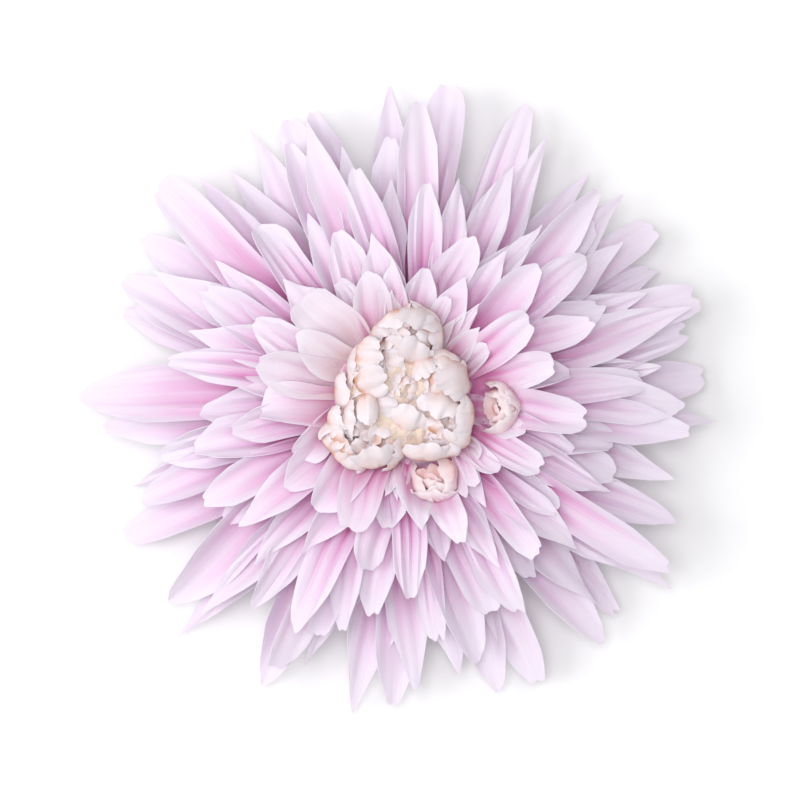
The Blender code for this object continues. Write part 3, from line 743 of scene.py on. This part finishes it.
def nest(x, y, half, top, count, draw):
    """Florets folded one inside another round one place, the outer low and open and the inner upright; the
    inner and two low hearts are peach, partly their own colour and partly painted shade.
    """
    florets = []
    spin = draw.uniform(0.0, TURN)
    for k in range(count):
        inward = k / count
        size = half * (1.0 - NEST_SHRINK * inward)
        azimuth = spin + k * GOLDEN_ANGLE + draw.uniform(-15.0, 15.0)
        rim = lerp(*NEST_RIMS, inward) + draw.uniform(-5.0, 8.0)
        shift = 0.2 * half * inward
        place = [at + shift * way * draw.uniform(0.0, 1.0) for at, way in zip((x, y), spoke(azimuth))]
        height = top + 0.1 * half * inward * draw.uniform(-1.0, 1.0) + draw.uniform(-0.3, 0.3)
        # The inner florets turn to peach: partly their own colour, partly painted shade of the nest's depths
        shade = draw.uniform(-0.25, 0.1) - NEST_DEPTH_SHADE * inward
        florets.append((*place, height, size, size * 0.94, azimuth, rim, 7, draw.choice((2, 3)), shade))
    # Two low hearts in the peach of the depths: painted shade of the nest's middle as well as their own
    # colour
    for azimuth in (spin + 20.0, spin + 200.0):
        florets.append((x, y, top - 1.2, half * 0.62, half * 0.6, azimuth, 112, 7, 2, -NEST_DEPTH_SHADE))
    return florets


def floret_surface(floret, rows, columns, scale, crumple, draw):
    """Points of one floret rolled over its form in millimetres, by rows from root to rim, and its folds,
    which the finish paints as shade in the valleys and highlight on the ridges.
    """
    x, y, top, across, along, azimuth, rim, scallop, lobes, _ = floret
    across *= scale
    along *= scale
    t = np.linspace(0.0, 1.0, rows)[:, None]
    u = np.linspace(-1.0, 1.0, columns)[None, :]
    lobe = np.abs(np.cos(math.pi * lobes * (u + 1.0 + draw.uniform(-0.2, 0.2)) / 2)) ** 0.55 - 1.0
    reach = rim - 14.0 * u**2 + 1.8 * scallop * lobe + draw.uniform(-3.0, 3.0)
    phases = [draw.uniform(0.0, TURN) for _ in range(3)]
    for tear, waves, phase in RIM_TEARS:
        reach = reach + tear * ripple(u * waves, phases[phase])
    climb = np.radians(FLORET_ROOT + (reach - FLORET_ROOT) * t)
    spread = 0.45 + 0.55 * np.sin(np.minimum(t / 0.5, 1.0) * math.pi / 2)
    spread = spread * (1.0 - 0.2 * ramped(t, 0.75, 1.0) ** 2)
    turn = np.radians(FLORET_HALF_ANGLE) * u * spread
    east, north = spoke(azimuth + draw.uniform(-4.0, 4.0))
    out, side, lift = np.array([[east, north, 0.0], [-north, east, 0.0], [0.0, 0.0, 1.0]])
    level = np.cos(turn) * np.cos(climb)
    height = np.cos(turn) * np.sin(climb)
    size = 1.0 + 0.09 * t**8 + 0.05 * u**4 * t
    for ruffle, rise, outward, waves, climbing, phase in RUFFLES:
        size = size + ruffle * t**rise * u**outward * ripple(u * waves + t * climbing, phases[phase])
    direction = level[..., None] * out + height[..., None] * lift + np.sin(turn)[..., None] * side
    pleats = ripple(u * math.pi * draw.choice((1.5, 2.0, 2.5)) + 1.1 * np.sin(t * 3.0), phases[2])
    # The pleats' folds, which the finish also paints: darker in their valleys as painted shade and paler on
    # their ridges as painted highlight
    fold = pleats * t**1.5
    size = size + PLEAT * fold + crumpled(direction, draw.uniform(0.0, 50.0), crumple, crumple * 0.6)
    crown = FLORET_DOME * (across + along) / 2
    tall = np.where(height > 0.0, crown * size, FLORET_STEM)
    points = (level * size * along)[..., None] * out + (np.sin(turn) * size * across)[..., None] * side
    points = points + (height * tall)[..., None] * lift
    return np.array([x, y, top - crown]) + points, np.broadcast_to(fold, size.shape).ravel()


# Fine shape of the calyx's bracts


def bract_surface(azimuth, row, draw):
    """Points of one bract of the calyx, lying along the cup's slope, in millimetres."""
    flat, steep = spoke(BRACT_SLOPE - 3.0 * row)
    length = BRACT_LENGTH * draw.uniform(0.92, 1.08)
    east, north = spoke(azimuth)
    t = np.linspace(0.0, 1.0, BRACT_POINTS)[:, None]
    u = np.linspace(-1.0, 1.0, BRACT_POINTS)[None, :]
    s = t * (1.0 - 0.16 * np.abs(u) ** 2.2)
    half = BRACT_WIDTH / 2 * (0.75 + 0.5 * s) * (1.0 - 0.72 * s**4)
    bow = half * 0.22 * u * u + 0.10 * np.cos(u * 9.0) * (1.0 - u**4) * s - 0.14 * np.exp(-((u / 0.12) ** 2))
    reach = 2.9 + 1.25 * row + length * s * flat - bow * steep
    height = 1.6 + 1.05 * row + length * s * steep + bow * flat
    x = reach * east - half * u * north
    y = reach * north + half * u * east
    return np.stack([x, y, np.minimum(height, CALYX_TOP)], axis=-1).reshape(-1, 3)


# Making pieces, with the marks that each point of a petal carries for its finish

# The fold mark carries painted shade and highlight: the finishes darken the valleys of the folds and lighten
# their ridges
MARKS = ("tone", "blush", "cream", "fold")


def select_only(*objects):
    """Select these objects and nothing else, the first one active."""
    bpy.ops.object.select_all(action="DESELECT")
    for chosen in objects:
        chosen.select_set(True)
    if objects:
        bpy.context.view_layer.objects.active = objects[0]


def flat_petal(name, rows, columns):
    """A flat gridded petal with its UV map: U runs across it and V from root to tip."""
    select_only()
    bpy.ops.mesh.primitive_grid_add(x_subdivisions=columns - 1, y_subdivisions=rows - 1, size=2.0)
    petal = bpy.context.object
    petal.name = name
    assert len(petal.data.vertices) == rows * columns, "the flat petal has other rows or columns"
    for attribute in MARKS:
        petal.data.attributes.new(attribute, "FLOAT", "POINT")
    flesh = petal.vertex_groups.new(name="flesh")
    for row in range(rows):
        for column in range(columns):
            to_margin = min(column, columns - 1 - column, rows - 1 - row)
            flesh.add([row * columns + column], min(to_margin / 2, 1.0), "REPLACE")
    return petal


def shaped_copy(petal, name, points, marks):
    """A copy of the flat petal with its own mesh, bent to the given surface and marked for its finish."""
    mesh = petal.data.copy()
    count = len(mesh.vertices)
    mesh.vertices.foreach_set("co", (np.asarray(points, dtype=np.float32) * MM).ravel())
    for attribute, value in marks.items():
        mesh.attributes[attribute].data.foreach_set("value", np.full(count, value, dtype=np.float32))
    mesh.update()
    copy = bpy.data.objects.new(name, mesh)
    bpy.context.scene.collection.objects.link(copy)
    return copy


def fleshed_out(name, copies, skin, thinning):
    """The copies as one piece with a real thickness, thinner at its margins."""
    select_only(*copies)
    bpy.ops.object.join()
    piece = bpy.context.object
    piece.name = name
    piece.data.name = name
    wall = piece.modifiers.new("thickness", "SOLIDIFY")
    wall.thickness = skin
    wall.offset = 0.0
    wall.vertex_group = "flesh"
    wall.thickness_vertex_group = thinning
    bpy.ops.object.modifier_apply(modifier=wall.name)
    piece.vertex_groups.clear()
    return piece


def floret_cluster(name, florets, scale, bound, sizes, draw):
    """Florets as one piece, held to their own side of the funnel."""
    rows, columns = sizes.floret_rows, sizes.floret_columns
    petal = flat_petal("flat_floret", rows, columns)
    copies = []
    for floret in florets:
        points, fold = floret_surface(floret, rows, columns, scale, sizes.crumple, draw)
        bound(points)
        marks = {"tone": max(floret[-1], 0.0), "blush": max(-floret[-1], 0.0), "fold": fold}
        copies.append(shaped_copy(petal, name, points.reshape(-1, 3), marks))
    bpy.data.objects.remove(petal)
    return fleshed_out(name, copies, sizes.floret_skin, sizes.margin_thinning)


def settled_in(piece, material, node):
    """Smooth shading, finish and place in the frame."""
    select_only(piece)
    bpy.ops.object.shade_smooth_by_angle(angle=math.radians(SMOOTH_ANGLE))
    piece.data.materials.clear()
    piece.data.materials.append(material)
    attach(piece, "root")
    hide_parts(node)


def drawn_body(name, profile):
    """A round body, drawn up ring by ring from a disc at its foot."""
    select_only()
    radius, height = profile[1]
    bpy.ops.mesh.primitive_circle_add(
        vertices=BODY_SIDES, radius=radius * MM, fill_type="NGON", location=(0.0, 0.0, height * MM)
    )
    body = bpy.context.object
    body.name = name
    bpy.ops.object.transform_apply(location=True, rotation=True, scale=True)
    bpy.ops.object.mode_set(mode="EDIT")
    bpy.ops.mesh.select_all(action="SELECT")
    for next_radius, next_height in profile[2:]:
        next_radius = max(next_radius, AXIS_RADIUS)
        rise = (next_height - height) * MM
        bpy.ops.mesh.extrude_region_move(TRANSFORM_OT_translate={"value": (0.0, 0.0, rise)})
        factor = next_radius / radius
        centre = (0.0, 0.0, next_height * MM)
        bpy.ops.transform.resize(value=(factor, factor, 1.0), center_override=centre)
        radius, height = next_radius, next_height
    bpy.ops.mesh.select_all(action="SELECT")
    bpy.ops.mesh.normals_make_consistent(inside=False)
    bpy.ops.object.mode_set(mode="OBJECT")
    return body


def crumple_body(body, depth):
    """Smooth a round body and push its surface in and out by smooth noise."""
    smooth = body.modifiers.new("smooth", "SUBSURF")
    smooth.levels = smooth.render_levels = 2
    bpy.ops.object.modifier_apply(modifier=smooth.name)
    for vertex in body.data.vertices:
        place = vertex.co / MM
        push = noise.noise(place * 0.45) + 0.5 * noise.noise(place * 1.1)
        vertex.co += vertex.co.normalized() * push * depth * MM


# Finishes


def arithmetic(operation, reflected=False):
    """An operator that adds a Math node to the finish."""

    def method(self, other):
        first, second = (other, self) if reflected else (self, other)
        return self.finish.node("ShaderNodeMath", {"operation": operation}, {0: first, 1: second})

    return method


class Value:
    """A shader socket that can be used in Python sums."""

    def __init__(self, finish, socket):
        self.finish = finish
        self.socket = socket

    __add__ = arithmetic("ADD")
    __radd__ = arithmetic("ADD", reflected=True)
    __sub__ = arithmetic("SUBTRACT")
    __rsub__ = arithmetic("SUBTRACT", reflected=True)
    __mul__ = arithmetic("MULTIPLY")
    __rmul__ = arithmetic("MULTIPLY", reflected=True)
    __truediv__ = arithmetic("DIVIDE")
    __pow__ = arithmetic("POWER")
    __lt__ = arithmetic("LESS_THAN")


class Finish:
    """One material as it is wired up."""

    def __init__(self, name):
        self.material = bpy.data.materials.new(name)
        self.material.use_nodes = True
        self.tree = self.material.node_tree
        self.shader = self.tree.nodes["Principled BSDF"]

    def node(self, kind, settings=None, values=None, out=0):
        """Adds any node: its settings first, then the values or links of its sockets."""
        made = self.tree.nodes.new(kind)
        for key, value in (settings or {}).items():
            if key == "stops":
                while len(made.color_ramp.elements) < len(value):
                    made.color_ramp.elements.new(0.5)
                for element, (place, colour) in zip(made.color_ramp.elements, value):
                    element.position = place
                    element.color = (*colour, 1.0)
            else:
                setattr(made, key, value)
        for key, value in (values or {}).items():
            self.put(made.inputs[key], value)
        return Value(self, made.outputs[out])

    def put(self, socket, value):
        if isinstance(value, Value):
            self.tree.links.new(value.socket, socket)
        elif socket.type == "RGBA":
            socket.default_value = (*value, 1.0)
        else:
            socket.default_value = value

    def set(self, **values):
        """Sets the shader's own sockets, named with underscores for spaces."""
        for key, value in values.items():
            self.put(self.shader.inputs[key.replace("_", " ")], value)

    def lit_through(self, colour, share):
        """Lets part of the light pass through, as it does through a thin petal."""
        through = self.node("ShaderNodeBsdfTranslucent", None, {"Color": colour})
        own = Value(self, self.shader.outputs[0])
        both = self.node("ShaderNodeMixShader", None, {0: share, 1: own, 2: through})
        self.put(self.tree.nodes["Material Output"].inputs["Surface"], both)

    def ramp(self, value, *stops):
        return self.node("ShaderNodeValToRGB", {"stops": stops}, {0: value})

    def mix(self, factor, first, second, blend="MIX"):
        settings = {"data_type": "RGBA", "blend_type": blend}
        return self.node("ShaderNodeMix", settings, {0: factor, 6: first, 7: second}, out=2)

    def noise(self, x, y, z, detail):
        """Smooth noise on three values of the caller's own, already scaled."""
        place = self.node("ShaderNodeCombineXYZ", None, {0: x, 1: y, 2: z})
        return self.node("ShaderNodeTexNoise", None, {"Vector": place, "Scale": 1.0, "Detail": detail})

    def grain(self, scale, detail):
        """Smooth noise on the piece's own coordinates."""
        place = self.node("ShaderNodeTexCoord", out=3)
        return self.node("ShaderNodeTexNoise", None, {"Vector": place, "Scale": scale, "Detail": detail})

    def bump(self, height, strength, distance):
        values = {"Strength": strength, "Distance": distance, "Height": height}
        return self.node("ShaderNodeBump", None, values)

    def parts(self, place):
        """The three numbers of a place."""
        first = self.node("ShaderNodeSeparateXYZ", None, {0: place})
        return [Value(self, output) for output in first.socket.node.outputs]

    def chart(self):
        """The petal's own map: across it from 0 to 1, then from root to tip."""
        return self.parts(self.node("ShaderNodeUVMap", {"uv_map": "UVMap"}))[:2]

    def attribute(self, name):
        return self.node("ShaderNodeAttribute", {"attribute_name": name}, out=2)


def petal_finish(name, colours, sizes):
    """A pink blade: pinker to the root, paler to the tip and margins, with fine veins along it, painted shade
    in the valleys of its grooves and painted highlight on their ridges.
    """
    finish = Finish(name)
    across, along = finish.chart()
    tone, blush, cream, fold = (finish.attribute(mark) for mark in MARKS)
    veins = finish.noise(across * 26.0 + tone * 57.0, along * 1.4, tone * 13.0, 2.0)
    clouds = finish.noise(across * 1.6, along * 2.6, tone * 31.0, 1.0)
    off_middle = (across - 0.5) * (across - 0.5)
    shade = along + (clouds - 0.5) * 0.26 + (veins - 0.5) * 0.08
    # fold paints shade into the valleys of the grooves and a highlight onto their ridges
    shade = shade + off_middle * 0.40 - blush * 0.25 + fold * 0.10
    colour = finish.ramp(
        shade,
        (0.32, colours.petal_root),
        (0.54, colours.petal_lower),
        (0.74, colours.petal_middle),
        (0.92, colours.petal_tip),
    )
    near_root = finish.ramp(along, (0.30, WHITE), (0.95, (0.25, 0.25, 0.25)))
    colour = finish.mix(cream * near_root, colour, colours.petal_cream)
    streaks = finish.ramp(veins, (0.30, (0.985, 0.955, 0.98)), (0.62, WHITE))
    colour = finish.mix(1.0, colour, streaks, "MULTIPLY")
    finish.set(Base_Color=colour, Roughness=0.55, Normal=finish.bump(veins, 0.5, sizes.vein_depth))
    finish.set(Specular_IOR_Level=0.3, Sheen_Weight=0.1, Sheen_Roughness=0.5)
    finish.lit_through(screen(255, 228, 246), 0.24)
    return finish.material


def floret_finish(name, colours, kind, sizes):
    """A crumpled floret or rosette petal: peach in its depths, partly its own colour and partly painted
    shade, and cream to its rim.
    """
    finish = Finish(name)
    across, along = finish.chart()
    tone, blush, _, fold = (finish.attribute(mark) for mark in MARKS)
    veins = finish.noise(across * 12.0 + tone * 40.0, along * 2.2, tone * 17.0, 3.0)
    # fold paints shade into the valleys of the pleats and a highlight onto their ridges
    shade = along + (veins - 0.5) * 0.25 - blush * 0.4 + fold * 0.08
    root, lower, rim = (getattr(colours, f"{kind}_{part}") for part in ("root", "lower", "rim"))
    # The ramp runs from the peach of the depths, partly the florets' own colour and partly painted shade, to
    # the cream rim; blush pushes a floret towards that peach
    colour = finish.ramp(shade, (0.38, root), (0.62, lower), (0.87, rim))
    # Grey mixed in by tone: partly a greyer tone of the floret and partly painted shade
    colour = finish.mix(tone * 0.6, colour, GREY_TONE_AND_SHADE)
    finish.set(Base_Color=colour, Roughness=0.5, Normal=finish.bump(veins, 0.5, sizes.vein_depth))
    finish.set(Specular_IOR_Level=0.3)
    finish.lit_through(screen(255, 238, 238), 0.25)
    return finish.material


def flesh_finish(name, colour):
    """The hidden flesh that petals grow from, mottled by smooth noise."""
    finish = Finish(name)
    mottle = finish.grain(900.0, 2.0)
    dark = tuple(0.82 * part for part in colour)
    finish.set(Base_Color=finish.ramp(mottle, (0.35, dark), (0.65, tuple(colour))), Roughness=0.6)
    finish.set(Normal=finish.bump(mottle, 0.4, 0.0002), Specular_IOR_Level=0.25)
    return finish.material


def bract_finish(name, colours):
    """Bract green: fine streaks along each bract and a paler, drier margin."""
    finish = Finish(name)
    across, along = finish.chart()
    tone = finish.attribute("tone")
    streaks = finish.noise(across * 14.0 + tone * 40.0, along * 2.0, tone * 9.0, 2.0)
    green = tuple(colours.calyx_green)
    pale = (green[0] * 1.6, green[1] * 1.35, green[2] * 1.3)
    body = finish.ramp(streaks, (0.3, green), (0.7, pale))
    off_middle = (across - 0.5) * (across - 0.5) * 3.4 + along**6.0 * 0.7
    colour = finish.mix(finish.ramp(off_middle, (0.45, BLACK), (0.95, WHITE)), body, colours.calyx_margin)
    finish.set(Base_Color=colour, Roughness=0.6, Normal=finish.bump(streaks, 0.4, 0.0002))
    finish.set(Specular_IOR_Level=0.3)
    return finish.material


def cup_finish(name, colours):
    """The green cup, with the pale pith and the ring of vessels of the cut stalk on its foot."""
    finish = Finish(name)
    x, y, z = finish.parts(finish.node("ShaderNodeTexCoord", out=3))
    grain = finish.grain(1400.0, 3.0)
    green = tuple(colours.calyx_green)
    pith = tuple(colours.stalk_cut)
    vessels = tuple(0.55 * part for part in pith)
    rind = tuple(0.8 * part for part in green)
    side = finish.ramp(grain, (0.3, rind), (0.7, green))
    outward = (x * x + y * y) ** 0.5 / MM / 4.0 + (grain - 0.5) * 0.06
    cut = finish.ramp(outward, (0.0, pith), (0.56, pith), (0.64, vessels), (0.72, pith), (0.86, rind))
    colour = finish.mix(z < 0.4 * MM, side, cut)
    finish.set(Base_Color=colour, Roughness=0.65, Normal=finish.bump(grain, 0.5, 0.00015))
    return finish.material


def floor_finish(name, colour):
    """Smooth white paper under the bloom."""
    finish = Finish(name)
    near = tuple(0.99 * part for part in colour)
    finish.set(Base_Color=finish.ramp(finish.grain(300.0, 2.0), (0.3, near), (0.7, tuple(colour))))
    finish.set(Roughness=0.8, Specular_IOR_Level=0.1)
    return finish.material


def facing(azimuth, side):
    """How far an azimuth faces a side, from 1 there to 0 at a right angle and beyond."""
    return max(0.0, spoke(azimuth - side)[0])


# Operators, one for each piece or group of like pieces


class BLOOM_OT_head(Operator):
    """Model the domed head that the pink blades grow from"""

    bl_idname = "bloom.head"
    bl_label = "Head"

    def execute(self, context):
        body = drawn_body("head", HEAD_PROFILE)
        flesh = flesh_finish("head_flesh", context.scene.bloom_colours.petal_lower)
        settled_in(body, flesh, "ray_petals")
        return {"FINISHED"}


class BLOOM_OT_ray_petals(Operator):
    """Model the pink blades, one piece for each whorl"""

    bl_idname = "bloom.ray_petals"
    bl_label = "Ray petals"

    def execute(self, context):
        sizes = context.scene.bloom_sizes
        material = petal_finish("petal_pink", context.scene.bloom_colours, sizes)
        rows, columns = sizes.petal_rows, sizes.petal_columns
        petal = flat_petal("flat_petal", rows, columns)
        draw = random.Random(SEED + 10)
        rolls = random.Random(SEED + 11)
        whorls = {}
        for k, blade in enumerate(all_blades()):
            whorl, azimuth = blade["whorl"], blade["azimuth"]
            style = blade_style(blade, draw, rolls)
            points, fold = blade_surface(blade, style, rows, columns, sizes)
            gathered = CREAM_ELSEWHERE + (1.0 - CREAM_ELSEWHERE) * facing(azimuth, CREAM_SIDE) ** 4
            cream = CREAM_SHARE.get(whorl, 0.0) * gathered
            blush = (BLUSH[whorl] + BLUSH_SIDE_SHARE * facing(azimuth, BLUSH_SIDE)) * (1.0 - cream)
            marks = {"tone": style["tone"], "blush": blush, "cream": cream, "fold": fold}
            whorls.setdefault(whorl, []).append(shaped_copy(petal, f"blade_{k:03d}", points, marks))
        for whorl, copies in whorls.items():
            piece = fleshed_out(f"petals_{whorl}", copies, sizes.petal_skin, sizes.margin_thinning)
            settled_in(piece, material, "ray_petals")
        bpy.data.objects.remove(petal)
        return {"FINISHED"}


class BLOOM_OT_rosettes(Operator):
    """Model the two small rosettes among the innermost blades"""

    bl_idname = "bloom.rosettes"
    bl_label = "Rosettes"

    def execute(self, context):
        sizes = context.scene.bloom_sizes
        material = floret_finish("rosette_blush", context.scene.bloom_colours, "rosette", sizes)
        draw = random.Random(SEED + 20)
        for name, florets in ROSETTES.items():
            piece = floret_cluster(name, florets, 1.0, keep_below_funnel, sizes, draw)
            settled_in(piece, material, "ray_petals")
        return {"FINISHED"}


class BLOOM_OT_centre_florets(Operator):
    """Model the cream tufts in the middle and the crown they grow from"""

    bl_idname = "bloom.centre_florets"
    bl_label = "Centre florets"

    def execute(self, context):
        sizes = context.scene.bloom_sizes
        material = floret_finish("floret_cream", context.scene.bloom_colours, "floret", sizes)
        draw = random.Random(SEED + 30)
        clusters = [(name, florets, FLORET_SCALE) for name, florets in TUFTS.items()]
        for k, measures in enumerate(NESTS):
            clusters.append((f"nest_{k + 1:02d}", nest(*measures, draw), 1.0))
        for name, florets, scale in clusters:
            piece = floret_cluster(name, florets, scale, keep_above_funnel, sizes, draw)
            settled_in(piece, material, "centre_florets")
        crown = drawn_body("crown", CROWN_PROFILE)
        crumple_body(crown, CROWN_CRUMPLE)
        settled_in(crown, flesh_finish("crown_flesh", CROWN_FLESH), "centre_florets")
        return {"FINISHED"}


class BLOOM_OT_calyx(Operator):
    """Model the green cup under the head and its overlapping bracts"""

    bl_idname = "bloom.calyx"
    bl_label = "Calyx"

    def execute(self, context):
        sizes = context.scene.bloom_sizes
        colours = context.scene.bloom_colours
        cup = drawn_body("calyx_cup", CALYX_PROFILE)
        settled_in(cup, cup_finish("calyx_cup_green", colours), "calyx")
        petal = flat_petal("flat_bract", BRACT_POINTS, BRACT_POINTS)
        draw = random.Random(SEED + 3)
        copies = []
        for row in range(BRACT_ROWS):
            for k in range(BRACTS_IN_ROW):
                azimuth = TURN * (k + row * 0.5) / BRACTS_IN_ROW + draw.uniform(-4.0, 4.0)
                points = bract_surface(azimuth, row, draw)
                copies.append(shaped_copy(petal, "bract", points, {"tone": (k * 0.37 + row * 0.21) % 1.0}))
        bracts = fleshed_out("calyx_bracts", copies, BRACT_SKIN * MM, sizes.margin_thinning)
        settled_in(bracts, bract_finish("bract_green", colours), "calyx")
        bpy.data.objects.remove(petal)
        return {"FINISHED"}


class BLOOM_OT_studio(Operator):
    """Set up the pale floor, the soft light and the camera above the bloom"""

    bl_idname = "bloom.studio"
    bl_label = "Studio"

    def execute(self, context):
        scene = context.scene
        sizes = scene.bloom_sizes
        select_only()
        bpy.ops.mesh.primitive_plane_add(size=sizes.floor_side)
        floor = bpy.context.object
        floor.name = "floor"
        floor.data.materials.append(floor_finish("floor_paper", scene.bloom_colours.floor))

        sky = bpy.data.worlds.new("studio_sky")
        sky.use_nodes = True
        background = sky.node_tree.nodes["Background"]
        background.inputs["Color"].default_value = (*WHITE, 1.0)
        background.inputs["Strength"].default_value = SKY_STRENGTH
        scene.world = sky

        for name, azimuth, elevation, distance, side, power in LAMPS:
            east, north = spoke(azimuth)
            level, lift = spoke(elevation)
            place = Vector((east * level, north * level, lift)) * distance
            bpy.ops.object.light_add(type="AREA", location=place)
            lamp = bpy.context.object
            lamp.name = name
            lamp.data.size = side
            lamp.data.energy = power
            lamp.rotation_euler = (-place).to_track_quat("-Z", "Y").to_euler()

        aim_x, aim_y = VIEW_CENTRE
        bpy.ops.object.camera_add(location=(aim_x * MM, aim_y * MM, sizes.camera_height))
        camera = bpy.context.object
        camera.name = "camera_above"
        camera.data.sensor_width = SENSOR
        camera.data.lens = SENSOR * (sizes.camera_height - FOCUS_HEIGHT * MM) / sizes.view_width
        camera.data.clip_start = 0.01
        camera.data.clip_end = 20.0
        scene.camera = camera
        scene.view_settings.view_transform = "Standard"
        return {"FINISHED"}


class BLOOM_PT_sidebar(Panel):
    """The bloom's operators and properties"""

    bl_label = "Chrysanthemum bloom"
    bl_idname = "BLOOM_PT_sidebar"
    bl_space_type = "VIEW_3D"
    bl_region_type = "UI"
    bl_category = "Bloom"

    def draw(self, context):
        layout = self.layout
        for operator in OPERATORS:
            layout.operator(operator.bl_idname)
        for group in (context.scene.bloom_sizes, context.scene.bloom_colours):
            box = layout.box()
            for name in group.bl_rna.properties.keys():
                if name not in ("rna_type", "name"):
                    box.prop(group, name)


OPERATORS = (
    BLOOM_OT_head,
    BLOOM_OT_ray_petals,
    BLOOM_OT_rosettes,
    BLOOM_OT_centre_florets,
    BLOOM_OT_calyx,
    BLOOM_OT_studio,
)
CLASSES = (BloomSizes, BloomColours, *OPERATORS, BLOOM_PT_sidebar)


def register():
    for cls in CLASSES:
        bpy.utils.register_class(cls)
    bpy.types.Scene.bloom_sizes = PointerProperty(type=BloomSizes)
    bpy.types.Scene.bloom_colours = PointerProperty(type=BloomColours)


def unregister():
    del bpy.types.Scene.bloom_colours
    del bpy.types.Scene.bloom_sizes
    for cls in reversed(CLASSES):
        bpy.utils.unregister_class(cls)


def main():
    register()
    bpy.ops.bloom.head()
    bpy.ops.bloom.ray_petals()
    bpy.ops.bloom.rosettes()
    bpy.ops.bloom.centre_florets()
    bpy.ops.bloom.calyx()
    bpy.ops.bloom.studio()


if __name__ == "__main__":
    main()
